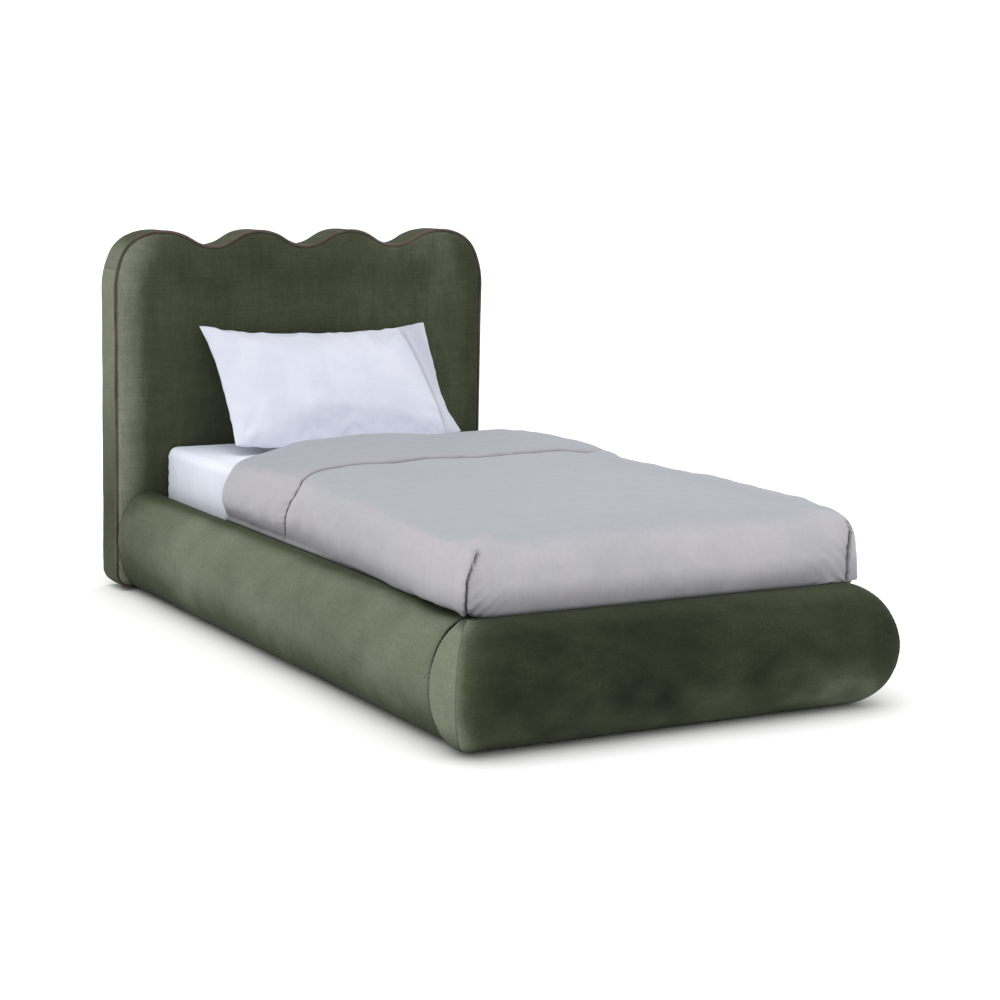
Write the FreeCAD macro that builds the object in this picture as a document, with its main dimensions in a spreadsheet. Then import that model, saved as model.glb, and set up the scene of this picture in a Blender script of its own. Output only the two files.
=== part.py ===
import FreeCAD, Part
import math
import os
import sys

# Single upholstered bed with a wavy boxed headboard, rolled side rails and a
# rolled foot board, sprung slats, mattress, pillow and duvet.
# Frame: X across the bed, +Y towards the headboard, +Z up, floor at Z = 0,
# origin at the middle of the footprint.  Millimetres.

V = FreeCAD.Vector
doc = FreeCAD.newDocument("UpholsteredHeadboardBed")

# ---------------------------------------------------------------- dimensions
DIMS = [
    # headboard outline (outer surface of the boxed border)
    ("head_half", 592.5, "half width of the border"),
    ("head_peak", 1035.0, "top of each hump"),
    ("head_dip", 990.5, "bottom of each dip"),
    ("hump_x", 146.0, "inner hump centre"),
    ("dip_x", 292.0, "outer dip centre"),
    ("hump_outer_x", 450.0, "outer hump centre"),
    ("hump_rad", 140.0, "inner hump radius"),
    ("shoulder_drop", 165.0, "height over which the shoulder turns to vertical"),
    ("shoulder_rad", 105.0, "middle radius of the shoulder"),
    ("head_base", 9.0, "underside of the headboard"),
    ("head_foot_rad", 45.0, "bottom corner radius"),
    # headboard layers, front to back
    ("head_face", 973.5, "front of the padded front panel"),
    ("pipe_plane", 981.5, "centre plane of the piping"),
    ("pipe_rad", 4.3, "piping radius"),
    ("cover_thick", 2.0, "velvet cover with its lining"),
    ("head_step", 986.0, "front end of the border strip"),
    ("ply_face", 1005.5, "front of the plywood panel"),
    ("ply_thick", 15.0, "plywood panel"),
    ("timber_depth", 70.0, "headboard timbers, front to back"),
    ("back_board", 3.0, "hardboard back"),
    ("back_cover", 1.5, "lining cloth on the back"),
    ("border_pad", 12.0, "padding under the border"),
    ("leg_in", 391.0, "inner side of the bolting uprights"),
    ("leg_width", 70.0, "bolting upright width"),
    ("leg_base", 25.0, "underside of the uprights"),
    ("leg_top", 930.0, "top of the uprights"),
    ("side_post_width", 50.0, "outer post width"),
    ("side_post_base", 60.0, "underside of outer posts"),
    ("side_post_top", 850.0, "top of outer posts"),
    ("cross_height", 70.0, "cross rail height"),
    ("cross_low", 60.0, "bottom cross rail underside"),
    ("cross_mid", 440.0, "middle cross rail underside"),
    ("cross_high", 860.0, "top cross rail underside"),
    ("block_high", 780.0, "upper spacer block underside"),
    # rolled rails
    ("rail_in", 466.0, "inner face of the side rails"),
    ("rail_ridge", 500.0, "ridge of the side roll"),
    ("rail_bulge", 96.0, "ridge to fullest point of the side roll"),
    ("rail_top", 292.0, "top of the rolls"),
    ("rail_base", 7.0, "underside of the rolls"),
    ("skin", 1.5, "velvet on the rolls"),
    ("core_thick", 25.0, "timber core boards"),
    ("core_low", 40.0, "core board underside"),
    ("core_high", 258.0, "core board top"),
    ("seam_y", 941.5, "inner face of the foot board, from mid length"),
    ("foot_ridge_y", 973.5, "ridge of the foot roll, from mid length"),
    ("foot_bulge", 121.5, "ridge to fullest point of the foot roll"),
    ("foot_ridge_x", 512.0, "half length of the foot ridge"),
    ("foot_end_bulge", 100.0, "end bulge of the foot roll"),
    ("foot_core_half", 480.0, "half length of the foot core board"),
    # slat platform
    ("ledge_width", 30.0, "batten width"),
    ("ledge_low", 145.0, "batten underside"),
    ("ledge_height", 30.0, "batten height"),
    ("ledge_foot", 930.0, "batten end towards the foot, from mid length"),
    ("ledge_head", 960.0, "batten end towards the head, from mid length"),
    ("slat_first", -862.0, "first slat centre"),
    ("slat_pitch", 135.4, "slat spacing"),
    ("slat_width", 53.0, "slat width"),
    ("slat_thick", 8.0, "slat thickness"),
    ("slat_half", 455.0, "half length of a slat"),
    ("slat_mid", 201.0, "mid thickness of a slat at its crown"),
    ("slat_rise", 13.0, "crown of a slat"),
    ("holder_in", 432.0, "inner face of a slat holder"),
    ("holder_out", 464.0, "outer face of a slat holder"),
    ("holder_width", 60.0, "slat holder width"),
    ("holder_height", 26.0, "slat holder height"),
    # corner brackets and fixings
    ("bracket_leg", 64.0, "flange length"),
    ("bracket_height", 90.0, "bracket height"),
    ("bracket_low", 45.0, "bracket underside"),
    ("bracket_thick", 4.0, "bracket plate"),
    ("bolt_offset", 40.0, "bolt centre from the corner"),
    ("bolt_low", 65.0, "lower bolt height"),
    ("bolt_high", 115.0, "upper bolt height"),
    ("bolt_rad", 4.0, "bolt shank radius"),
    ("bolt_hole", 4.3, "clearance hole radius in the plates"),
    ("nut_hole", 5.1, "bored hole radius in timber"),
    ("bolt_head_rad", 7.0, "bolt head radius"),
    ("bolt_head_high", 4.4, "bolt head height"),
    ("bolt_short", 28.0, "side and foot bolt length"),
    ("bolt_long", 70.0, "headboard bolt length"),
    ("nut_rad", 5.0, "tee nut barrel radius"),
    ("nut_len", 11.5, "tee nut barrel length"),
    ("nut_flange_rad", 11.0, "tee nut flange radius"),
    ("nut_flange", 1.5, "tee nut flange thickness"),
    ("nut_bore", 4.1, "tee nut bore radius"),
    ("screw_rad", 2.4, "batten screw radius"),
    ("screw_len", 50.0, "batten screw length"),
    ("screw_head_rad", 4.5, "batten screw head radius"),
    ("screw_head", 3.0, "batten screw head height"),
    ("screw_hole", 2.5, "batten screw hole radius"),
    ("glide_rad", 14.0, "floor glide radius"),
    # mattress
    ("bed_half", 450.0, "half width of the mattress"),
    ("bed_foot", 928.0, "foot end of the mattress, from mid length"),
    ("bed_head", 967.0, "head end of the mattress, from mid length"),
    ("bed_low", 205.3, "underside of the mattress"),
    ("bed_panel", 12.0, "quilted panel thickness"),
    ("bed_core", 188.5, "spring and foam core height"),
    ("bed_border", 4.0, "border cloth and wadding"),
    ("bed_corner", 60.0, "plan corner radius"),
    ("sheet_thick", 1.2, "fitted sheet"),
    ("sheet_low", 209.0, "bottom hem of the fitted sheet"),
    # duvet
    ("duvet_gap", 0.3, "clearance between duvet and sheet"),
    ("duvet_low", 232.0, "bottom edge of the tucked duvet"),
    ("duvet_waist", 296.0, "height where the duvet clears the rolls"),
    ("duvet_tuck_half", 465.6, "half width below the rolls' ridge"),
    ("duvet_tuck_foot", 941.1, "foot end below the ridge"),
    ("duvet_half", 500.0, "half width above the rolls"),
    ("duvet_foot", 960.0, "foot end above the rolls"),
    ("duvet_top", 470.0, "top of the duvet"),
    ("duvet_head", 470.0, "folded edge of the duvet"),
    ("turn_foot", 70.0, "hem of the turned back layer"),
    ("turn_top", 492.0, "top of the turned back layer"),
    # pillow
    ("pillow_x", 22.0, "pillow centre across"),
    ("pillow_y", 826.0, "pillow centre along"),
    ("pillow_z", 597.0, "pillow centre height"),
    ("pillow_lean", 36.87, "lean back from upright, degrees"),
    ("pillow_half", 360.0, "half width of the pillow"),
    ("pillow_tall", 210.0, "half height of the pillow"),
    ("pillow_fat", 75.0, "half thickness of the pillow"),
    ("case_thick", 2.5, "pillowcase"),
]
sheet = doc.addObject("Spreadsheet::Sheet", "Dims")
for row, (alias, value, note) in enumerate(DIMS, start=1):
    sheet.set("A%d" % row, str(value))
    sheet.setAlias("A%d" % row, alias)
    sheet.set("C%d" % row, note)
doc.recompute()


def D(alias):
    return float(sheet.get(alias))


NODES = []


def keep(obj, label):
    obj.Label = label
    NODES.append((label, obj))
    return obj


def bind(obj, **exprs):
    for path, expr in exprs.items():
        obj.setExpression(path.replace("__", "."), expr)


# ------------------------------------------------------------ primitive tools
def box(name, x, y, z, lx, ly, lz):
    b = doc.addObject("Part::Box", name)
    bind(b, Length=lx, Width=ly, Height=lz,
         Placement__Base__x=x, Placement__Base__y=y, Placement__Base__z=z)
    return b


def rod(name, axis, rad, length, x, y, z):
    c = doc.addObject("Part::Cylinder", name)
    turn = {"x": FreeCAD.Rotation(V(0, 1, 0), 90), "-x": FreeCAD.Rotation(V(0, 1, 0), -90),
            "y": FreeCAD.Rotation(V(1, 0, 0), -90), "-y": FreeCAD.Rotation(V(1, 0, 0), 90),
            "z": FreeCAD.Rotation()}[axis]
    c.Placement = FreeCAD.Placement(V(0, 0, 0), turn)
    bind(c, Radius=rad, Height=length,
         Placement__Base__x=x, Placement__Base__y=y, Placement__Base__z=z)
    return c


def bundle(name, parts):
    c = doc.addObject("Part::Compound", name)
    c.Links = parts
    return c


def cut(name, base, tool):
    c = doc.addObject("Part::Cut", name)
    c.Base = base
    c.Tool = tool
    return c


def fuse(name, parts):
    f = doc.addObject("Part::MultiFuse", name)
    f.Shapes = parts
    return f


def feature(name, shape):
    f = doc.addObject("Part::Feature", name)
    f.Shape = shape
    f.Placement = FreeCAD.Placement()
    return f


# ------------------------------------------------------- PartDesign utilities
def new_body(label):
    b = doc.addObject("PartDesign::Body", label)
    b.Label = label
    return b


def origin_plane(body, role):
    for f in body.Origin.OriginFeatures:
        if f.Role == role:
            return f
    raise RuntimeError("no plane " + role)


def sketch(body, name, role, offset):
    s = body.newObject("Sketcher::SketchObject", name)
    s.AttachmentSupport = [(origin_plane(body, role), "")]
    s.MapMode = "FlatFace"
    s.setExpression(".AttachmentOffset.Base.z", offset)
    return s


def pad(body, name, profile, length):
    p = body.newObject("PartDesign::Pad", name)
    p.Profile = profile
    p.setExpression("Length", length)
    return p


# ------------------------------------------------------------ headboard outline
def shoulder(peak_x, half, drop, mid):
    """Three tangent arcs from the outer hump to the upright side."""
    s1, s2 = math.sin(math.radians(25)), math.sin(math.radians(65))
    dx, dz = half - peak_x, drop
    # dx = s1*r1 + (s2-s1)*mid + (1-s2)*r3 ; dz = (1-s2)*r1 + (s2-s1)*mid + s1*r3
    a, b = dx - (s2 - s1) * mid, dz - (s2 - s1) * mid
    det = s1 * s1 - (1 - s2) ** 2
    return (a * s1 - b * (1 - s2)) / det, (b * s1 - a * (1 - s2)) / det


def head_geometry(inset, open_bottom=False):
    """Arcs and lines of the headboard outline, moved inwards by inset."""
    half, peak, dip = D("head_half"), D("head_peak"), D("head_dip")
    hx, dx, ox, rp = D("hump_x"), D("dip_x"), D("hump_outer_x"), D("hump_rad")
    rise = peak - dip
    both = (hx ** 2 + rise ** 2) / (2 * rise)
    rv = both - rp
    rq = ((ox - dx) ** 2 + rise ** 2) / (2 * rise) - rv
    zc, zp, zq = dip + rv, peak - rp, peak - rq
    r1, r3 = shoulder(ox, half, D("shoulder_drop"), D("shoulder_rad"))
    r2 = D("shoulder_rad")
    base, rb = D("head_base"), D("head_foot_rad")
    t = math.atan2(zp - zc, hx)
    u = math.atan2(zq - zc, ox - dx)
    right = []          # (cx, cz, radius, start, end) counter-clockwise, from the middle out
    right.append((hx, zp, rp - inset, -t, math.pi + t))
    right.append((dx, zc, rv + inset, -math.pi - t, u))
    right.append((ox, zq, rq - inset, math.pi / 2, math.pi + u))
    c1 = (ox, peak - r1)
    a65, a25 = math.radians(65), math.radians(25)
    c2 = (c1[0] + (r1 - r2) * math.cos(a65), c1[1] + (r1 - r2) * math.sin(a65))
    c3 = (c2[0] - (r3 - r2) * math.cos(a25), c2[1] - (r3 - r2) * math.sin(a25))
    right.append((c1[0], c1[1], r1 - inset, a65, math.pi / 2))
    right.append((c2[0], c2[1], r2 - inset, a25, a65))
    right.append((c3[0], c3[1], r3 - inset, 0.0, a25))
    geo = []

    def arc(cx, cz, r, a0, a1):
        return Part.ArcOfCircle(Part.Circle(V(cx, cz, 0), V(0, 0, 1), r), a0, a1)

    def line(x0, z0, x1, z1):
        return Part.LineSegment(V(x0, z0, 0), V(x1, z1, 0))

    x = half - inset
    low = base + inset
    corner = (half - rb, base + rb)
    left = []
    for (cx, cz, r, a0, a1) in right:
        left.append((-cx, cz, r, math.pi - a1, math.pi - a0))
    # left bottom corner, left side, left half out to in, middle dip, right half
    geo.append(arc(-corner[0], corner[1], rb - inset, math.pi, 1.5 * math.pi))
    geo.append(line(-x, corner[1], -x, c3[1]))
    for seg in reversed(left):
        geo.append(arc(*seg))
    geo.append(arc(0.0, zc, rv + inset, -math.pi - t, t))
    for seg in right:
        geo.append(arc(*seg))
    geo.append(line(x, c3[1], x, corner[1]))
    geo.append(arc(corner[0], corner[1], rb - inset, 1.5 * math.pi, 2 * math.pi))
    if not open_bottom:
        geo.append(line(corner[0], low, -corner[0], low))
    return geo


def head_layer(label, inset, back, thick, hole=None):
    """A layer of the headboard, padded forwards from its back plane."""
    body = new_body(label)
    s = sketch(body, label + "_outline", "XZ_Plane", "-(%s)" % back)
    s.addGeometry(head_geometry(inset), False)
    if hole is not None:
        s.addGeometry(head_geometry(hole), False)
    pad(body, label + "_pad", s, thick)
    return body


# front cover: a shallow tray whose lip meets the piping
body = head_layer("headboard_front_cover", 4.6, "Dims.head_face + 11", "11 mm")
doc.recompute()
s = sketch(body, "front_cover_hollow", "XZ_Plane", "-(Dims.head_face + 11)")
s.addGeometry(head_geometry(4.6 + D("cover_thick")), False)
pk = body.newObject("PartDesign::Pocket", "front_cover_pocket")
pk.Profile = s
pk.Reversed = True
pk.setExpression("Length", "11 mm - Dims.cover_thick * 1 mm")
doc.recompute()
tray_volume = body.Shape.Volume
front_cover_blank = body

foam = head_layer("headboard_front_foam_blank", 6.7, "Dims.head_step", "(Dims.head_step - Dims.head_face - Dims.cover_thick) * 1 mm")
doc.recompute()
s = sketch(foam, "front_foam_rear", "XZ_Plane", "-(Dims.ply_face)")
s.addGeometry(head_geometry(D("cover_thick")), False)
pad(foam, "front_foam_rear_pad", s, "(Dims.ply_face - Dims.head_step) * 1 mm")

ply_blank = head_layer("headboard_plywood_blank", D("border_pad") + D("cover_thick"),
                       "Dims.ply_face + Dims.ply_thick", "Dims.ply_thick * 1 mm")
border_foam = head_layer("headboard_border_foam", D("cover_thick"),
                         "Dims.ply_face + Dims.ply_thick + Dims.timber_depth",
                         "(Dims.ply_thick + Dims.timber_depth) * 1 mm",
                         hole=D("border_pad") + D("cover_thick"))
keep(border_foam, "headboard_border_foam")
border = head_layer("headboard_border_cover", 0.0,
                    "Dims.ply_face + Dims.ply_thick + Dims.timber_depth + Dims.back_board",
                    "(Dims.ply_face + Dims.ply_thick + Dims.timber_depth + Dims.back_board - Dims.head_step) * 1 mm",
                    hole=D("cover_thick"))
keep(border, "headboard_border_cover")
back_board = head_layer("headboard_back_board", D("cover_thick"),
                        "Dims.ply_face + Dims.ply_thick + Dims.timber_depth + Dims.back_board",
                        "Dims.back_board * 1 mm")
keep(back_board, "headboard_back_board")
back_cloth = head_layer("headboard_back_cloth", 0.0,
                        "Dims.ply_face + Dims.ply_thick + Dims.timber_depth + Dims.back_board + Dims.back_cover",
                        "Dims.back_cover * 1 mm")
keep(back_cloth, "headboard_back_cloth")

# piping: a round cord along the front edge, from one bottom corner to the other
path = []
for g in head_geometry(0.0, open_bottom=True):
    e = g.toShape()
    e.rotate(V(0, 0, 0), V(1, 0, 0), 90)
    e.translate(V(0, D("pipe_plane"), 0))
    path.append(e)
path_wire = Part.Wire(Part.sortEdges(path)[0])
start = path_wire.OrderedVertexes[0].Point
first = path_wire.OrderedEdges[0]
tangent = first.tangentAt(first.FirstParameter if (first.valueAt(first.FirstParameter) - start).Length < 1e-3
                          else first.LastParameter)
ring = Part.Wire([Part.Circle(start, tangent, D("pipe_rad")).toShape()])
piping_shape = path_wire.makePipeShell([ring], True, True)
keep(feature("headboard_piping", piping_shape), "headboard_piping")
print("piping: length %.1f, volume %.0f, section x length %.0f, tightest arc %.1f" % (
    path_wire.Length, piping_shape.Volume, path_wire.Length * math.pi * D("pipe_rad") ** 2, D("head_foot_rad")))

# headboard timbers
yt = "Dims.ply_face + Dims.ply_thick"
legs = {}
for side, sgn in (("left", -1), ("right", 1)):
    x0 = "-(Dims.leg_in + Dims.leg_width)" if sgn < 0 else "Dims.leg_in"
    legs[side] = box("leg_blank_" + side, x0, yt, "Dims.leg_base", "Dims.leg_width",
                     "Dims.timber_depth", "Dims.leg_top - Dims.leg_base")
    edge = "(Dims.head_half - Dims.border_pad - Dims.cover_thick)"
    x0 = "-" + edge if sgn < 0 else edge + " - Dims.side_post_width"
    keep(box("side_post_" + side, x0, yt, "Dims.side_post_base", "Dims.side_post_width",
             "Dims.timber_depth", "Dims.side_post_top - Dims.side_post_base"),
         "headboard_side_post_" + side)
for name, z in (("bottom", "Dims.cross_low"), ("middle", "Dims.cross_mid"), ("top", "Dims.cross_high")):
    keep(box("cross_" + name, "-Dims.leg_in", yt, z, "2 * Dims.leg_in", "Dims.timber_depth",
             "Dims.cross_height"), "headboard_%s_rail" % name)
blocks = []
for sgn in (-1, 1):
    gap = "(Dims.head_half - Dims.border_pad - Dims.cover_thick - Dims.side_post_width - Dims.leg_in - Dims.leg_width)"
    x0 = ("-(Dims.leg_in + Dims.leg_width) - " + gap) if sgn < 0 else "Dims.leg_in + Dims.leg_width"
    for z in ("Dims.cross_low", "Dims.block_high"):
        blocks.append(box("block_%d_%s" % (sgn, z[-4:]), x0, yt, z, gap, "Dims.timber_depth", "Dims.cross_height"))
keep(bundle("spacer_blocks", blocks), "headboard_spacer_blocks")

# -------------------------------------------------------------- corner fixings
# Each corner has an angle bracket, two bolts into the side rail and two into
# the headboard upright or the foot board.  Tools for the holes come first.
plate_tools, timber_tools, nut_tools = [], [], []
bolts, nuts, brackets = [], [], {}


def fixing(name, axis, x, y, z, length, nut_at):
    """Bolt, tee nut and hole tools.  (x, y, z) is the plate's inner face."""
    d = {"x": (1, 0), "-x": (-1, 0), "y": (0, 1), "-y": (0, -1)}[axis]

    def along(dist):
        px = x if not d[0] else "%s %s (%s)" % (x, "+" if d[0] > 0 else "-", dist)
        py = y if not d[1] else "%s %s (%s)" % (y, "+" if d[1] > 0 else "-", dist)
        return px, py

    hx, hy = along("-Dims.bolt_head_high")
    head = rod(name + "_head", axis, "Dims.bolt_head_rad", "Dims.bolt_head_high", hx, hy, z)
    sx, sy = along("0")
    shank = rod(name + "_shank", axis, "Dims.bolt_rad", length, sx, sy, z)
    bolts.append(fuse(name, [head, shank]))
    fx, fy = along(nut_at)
    flange = rod(name + "_nut_flange", axis, "Dims.nut_flange_rad", "Dims.nut_flange", fx, fy, z)
    bx, by = along("%s - Dims.nut_len" % nut_at)
    barrel = rod(name + "_nut_barrel", axis, "Dims.nut_rad", "Dims.nut_len", bx, by, z)
    solid = fuse(name + "_nut_solid", [flange, barrel])
    cx, cy = along("%s - Dims.nut_len - 1" % nut_at)
    bore = rod(name + "_nut_bore", axis, "Dims.nut_bore", "Dims.nut_len + Dims.nut_flange + 2", cx, cy, z)
    nuts.append(cut(name + "_nut", solid, bore))
    ax, ay = along("-1")
    plate_tools.append(rod(name + "_plate_tool", axis, "Dims.bolt_hole", "8", ax, ay, z))
    tx, ty = along("Dims.bracket_thick - 0.5")
    timber_tools.append(rod(name + "_timber_tool", axis, "Dims.nut_hole",
                            "max(%s; %s + 2)" % (length, nut_at), tx, ty, z))
    nut_tools.append(rod(name + "_recess_tool", axis, "Dims.nut_flange_rad + 0.1", "Dims.nut_flange + 0.1", fx, fy, z))


for side, sgn in (("left", -1), ("right", 1)):
    for end, esg in (("head", 1), ("foot", -1)):
        sx = "-" if sgn < 0 else ""
        wall = "Dims.head_face" if esg > 0 else "(-Dims.seam_y)"
        # side flange against the rail, end flange against the headboard or foot board
        fx = "Dims.rail_in - Dims.bracket_thick" if sgn > 0 else "-Dims.rail_in"
        fy = wall + (" - Dims.bracket_leg" if esg > 0 else "")
        a = box("flange_side_%s_%s" % (side, end), fx, fy, "Dims.bracket_low",
                "Dims.bracket_thick", "Dims.bracket_leg", "Dims.bracket_height")
        ex = "Dims.rail_in - Dims.bracket_leg" if sgn > 0 else "-Dims.rail_in"
        ey = wall + (" - Dims.bracket_thick" if esg > 0 else "")
        b = box("flange_end_%s_%s" % (side, end), ex, ey, "Dims.bracket_low",
                "Dims.bracket_leg", "Dims.bracket_thick", "Dims.bracket_height")
        brackets[(side, end)] = fuse("angle_%s_%s" % (side, end), [a, b])
        for lev in ("low", "high"):
            z = "Dims.bolt_" + lev
            by = wall + (" - Dims.bolt_offset" if esg > 0 else " + Dims.bolt_offset")
            bx = "Dims.rail_in - Dims.bracket_thick" if sgn > 0 else "-Dims.rail_in + Dims.bracket_thick"
            fixing("bolt_side_%s_%s_%s" % (side, end, lev), "x" if sgn > 0 else "-x", bx, by, z,
                   "Dims.bolt_short", "(Dims.bracket_thick + Dims.skin + Dims.core_thick)")
            ex = "Dims.rail_in - Dims.bolt_offset" if sgn > 0 else "-Dims.rail_in + Dims.bolt_offset"
            ey = wall + (" - Dims.bracket_thick" if esg > 0 else " + Dims.bracket_thick")
            if esg > 0:
                fixing("bolt_end_%s_%s_%s" % (side, end, lev), "y", ex, ey, z, "Dims.bolt_long",
                       "(Dims.bracket_thick + Dims.ply_face - Dims.head_face + Dims.ply_thick)")
            else:
                fixing("bolt_end_%s_%s_%s" % (side, end, lev), "-y", ex, ey, z, "Dims.bolt_short",
                       "(Dims.bracket_thick + Dims.skin + Dims.core_thick)")
plate_holes = bundle("plate_holes", plate_tools)
timber_holes = bundle("timber_holes", timber_tools)
nut_recesses = bundle("nut_recesses", nut_tools)

for (side, end), angle in brackets.items():
    keep(cut("bracket_%s_%s" % (end, side), angle, plate_holes), "corner_bracket_%s_%s" % (end, side))
keep(bundle("frame_bolts", bolts), "frame_bolts")
keep(bundle("tee_nuts", nuts), "tee_nuts")

all_holes = bundle("all_holes", [timber_holes, nut_recesses])
for side in ("left", "right"):
    keep(cut("leg_" + side, legs[side], all_holes), "headboard_upright_" + side)
keep(cut("headboard_plywood", ply_blank, timber_holes), "headboard_plywood_panel")
keep(cut("headboard_front_foam", foam, timber_holes), "headboard_front_foam")
keep(cut("headboard_front_cover_cut", front_cover_blank, timber_holes), "headboard_front_cover")
front_cover_blank.Label = "front_cover_blank"

# ------------------------------------------------------------------ side rails
def roll_geometry(sgn, inset):
    """Section of a side roll in X-Z: flat inside and below, bowed outside."""
    cx, a = D("rail_ridge"), D("rail_bulge") - inset
    b = D("rail_top") / 2.0 - inset
    cz = D("rail_top") / 2.0
    low = D("rail_base") + inset
    inner = D("rail_in") + inset
    r = D("rail_ridge") - D("rail_in") - inset
    ang = math.acos((low - cz) / b)
    ell = Part.Ellipse(V(sgn * cx, cz + b, 0), V(sgn * cx - a, cz, 0), V(sgn * cx, cz, 0))
    bowed = Part.ArcOfEllipse(ell, -ang, 0.0) if sgn > 0 else Part.ArcOfEllipse(ell, 0.0, ang)
    tip = V(sgn * (cx + a * math.sin(ang)), low, 0)
    circle = Part.Circle(V(sgn * cx, D("rail_top") - (D("rail_ridge") - D("rail_in")), 0), V(0, 0, 1), r)
    zc = D("rail_top") - (D("rail_ridge") - D("rail_in"))
    shoulder_arc = (Part.ArcOfCircle(circle, math.pi / 2, math.pi) if sgn > 0
                    else Part.ArcOfCircle(circle, 0.0, math.pi / 2))
    return [bowed, shoulder_arc,
            Part.LineSegment(V(sgn * inner, zc, 0), V(sgn * inner, low, 0)),
            Part.LineSegment(V(sgn * inner, low, 0), tip)]


RAIL_LEN = "(Dims.head_face + Dims.seam_y)"
screw_tools = {}
screws = []
screw_y = [-870.0 + 290.0 * i for i in range(7)]
for side, sgn in (("left", -1), ("right", 1)):
    tools = []
    for i, yy in enumerate(screw_y):
        x0 = "(Dims.rail_in - Dims.ledge_width)" if sgn > 0 else "-(Dims.rail_in - Dims.ledge_width)"
        ax = "x" if sgn > 0 else "-x"
        zz = "Dims.ledge_low + Dims.ledge_height / 2"
        head = rod("screw_head_%s_%d" % (side, i), ax, "Dims.screw_head_rad", "Dims.screw_head",
                   x0 + (" - Dims.screw_head" if sgn > 0 else " + Dims.screw_head"), str(yy), zz)
        shank = rod("screw_shank_%s_%d" % (side, i), ax, "Dims.screw_rad", "Dims.screw_len", x0, str(yy), zz)
        screws.append(fuse("screw_%s_%d" % (side, i), [head, shank]))
        tools.append(rod("screw_tool_%s_%d" % (side, i), ax, "Dims.screw_hole", "Dims.screw_len + 2",
                         x0 + (" - 1" if sgn > 0 else " + 1"), str(yy), zz))
    screw_tools[side] = bundle("screw_tools_" + side, tools)

for side, sgn in (("left", -1), ("right", 1)):
    x0 = "Dims.rail_in + Dims.skin" if sgn > 0 else "-(Dims.rail_in + Dims.skin + Dims.core_thick)"
    core_blank = box("rail_core_blank_" + side, x0, "-Dims.seam_y", "Dims.core_low", "Dims.core_thick",
                     RAIL_LEN, "Dims.core_high - Dims.core_low")
    side_tools = bundle("rail_tools_" + side, [timber_holes, screw_tools[side]])
    keep(cut("rail_core_" + side, core_blank, side_tools), "side_rail_core_" + side)
    blank = new_body("rail_foam_blank_" + side)
    s = sketch(blank, "rail_foam_section_" + side, "XZ_Plane", "-Dims.head_face")
    s.addGeometry(roll_geometry(sgn, D("skin")), False)
    pad(blank, "rail_foam_pad_" + side, s, RAIL_LEN + " * 1 mm")
    foam_tools = bundle("rail_foam_tools_" + side, [core_blank, nut_recesses])
    keep(cut("rail_foam_" + side, blank, foam_tools), "side_rail_foam_" + side)
    tube = new_body("rail_cover_blank_" + side)
    s = sketch(tube, "rail_cover_section_" + side, "XZ_Plane", "-Dims.head_face")
    s.addGeometry(roll_geometry(sgn, 0.0), False)
    s.addGeometry(roll_geometry(sgn, D("skin")), False)
    pad(tube, "rail_cover_pad_" + side, s, RAIL_LEN + " * 1 mm")
    keep(cut("rail_cover_" + side, tube, side_tools), "side_rail_cover_" + side)
    # batten that carries the slats
    x0 = "Dims.rail_in - Dims.ledge_width" if sgn > 0 else "-Dims.rail_in"
    ledge_blank = box("ledge_blank_" + side, x0, "-Dims.ledge_foot", "Dims.ledge_low", "Dims.ledge_width",
                      "Dims.ledge_foot + Dims.ledge_head", "Dims.ledge_height")
    keep(cut("ledge_" + side, ledge_blank, screw_tools[side]), "slat_ledge_" + side)
keep(bundle("ledge_screws", screws), "ledge_screws")

# ------------------------------------------------------------------ foot board
def foot_section(z, inset):
    """Plan outline of the foot roll at height z, as one closed wire."""
    half_z = D("rail_top") / 2.0
    k = max(0.0, 1.0 - ((z - half_z) / (half_z - inset)) ** 2) ** 0.5
    hw = D("foot_ridge_x") + (D("foot_end_bulge") - inset) * k
    fy = D("foot_ridge_y") + (D("foot_bulge") - inset) * k
    r0 = D("foot_ridge_y") - D("seam_y")
    zc = D("rail_top") - r0
    if z <= zc:
        inner = D("seam_y") + inset
    else:
        inner = D("foot_ridge_y") - max((r0 - inset) ** 2 - (z - zc) ** 2, 0.0) ** 0.5
    r = 20.0 + 32.0 * k
    r = min(r, (fy - inner) * 0.8)
    q = r * math.sqrt(0.5)
    p = [V(-hw, -inner, z), V(-hw, -(fy - r), z), V(-(hw - r) - q, -(fy - r) - q, z), V(-(hw - r), -fy, z),
         V(hw - r, -fy, z), V((hw - r) + q, -(fy - r) - q, z), V(hw, -(fy - r), z), V(hw, -inner, z)]
    edges = [Part.LineSegment(p[0], p[1]).toShape(), Part.Arc(p[1], p[2], p[3]).toShape(),
             Part.LineSegment(p[3], p[4]).toShape(), Part.Arc(p[4], p[5], p[6]).toShape(),
             Part.LineSegment(p[6], p[7]).toShape(), Part.LineSegment(p[7], p[0]).toShape()]
    return Part.Wire(edges)


def foot_solid(inset):
    low, high = D("rail_base") + inset, D("rail_top") - 1.0 - inset
    zs = [low, 16, 30, 50, 75, 105, 146, 187, 217, 240, 258, 270, 280, 286, high]
    return Part.makeLoft([foot_section(z, inset) for z in zs], True, True)


foot_outer, foot_inner = foot_solid(0.0), foot_solid(D("skin"))
doc.recompute()
foot_skin = foot_outer.cut(foot_inner).cut(timber_holes.Shape)


def mitre(sgn):
    """Upright wedge outside the seam that runs up each end of the foot roll."""
    y0 = -D("seam_y") + 1.0
    pts = [V(sgn * 499.0, y0, -5), V(sgn * 650.0, y0, -5), V(sgn * 650.0, y0 - 151.0 * 137.0 / 106.0, -5)]
    face = Part.Face(Part.makePolygon(pts + [pts[0]]))
    return face.extrude(V(0, 0, 320))


wedge_l, wedge_r = mitre(-1), mitre(1)


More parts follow.
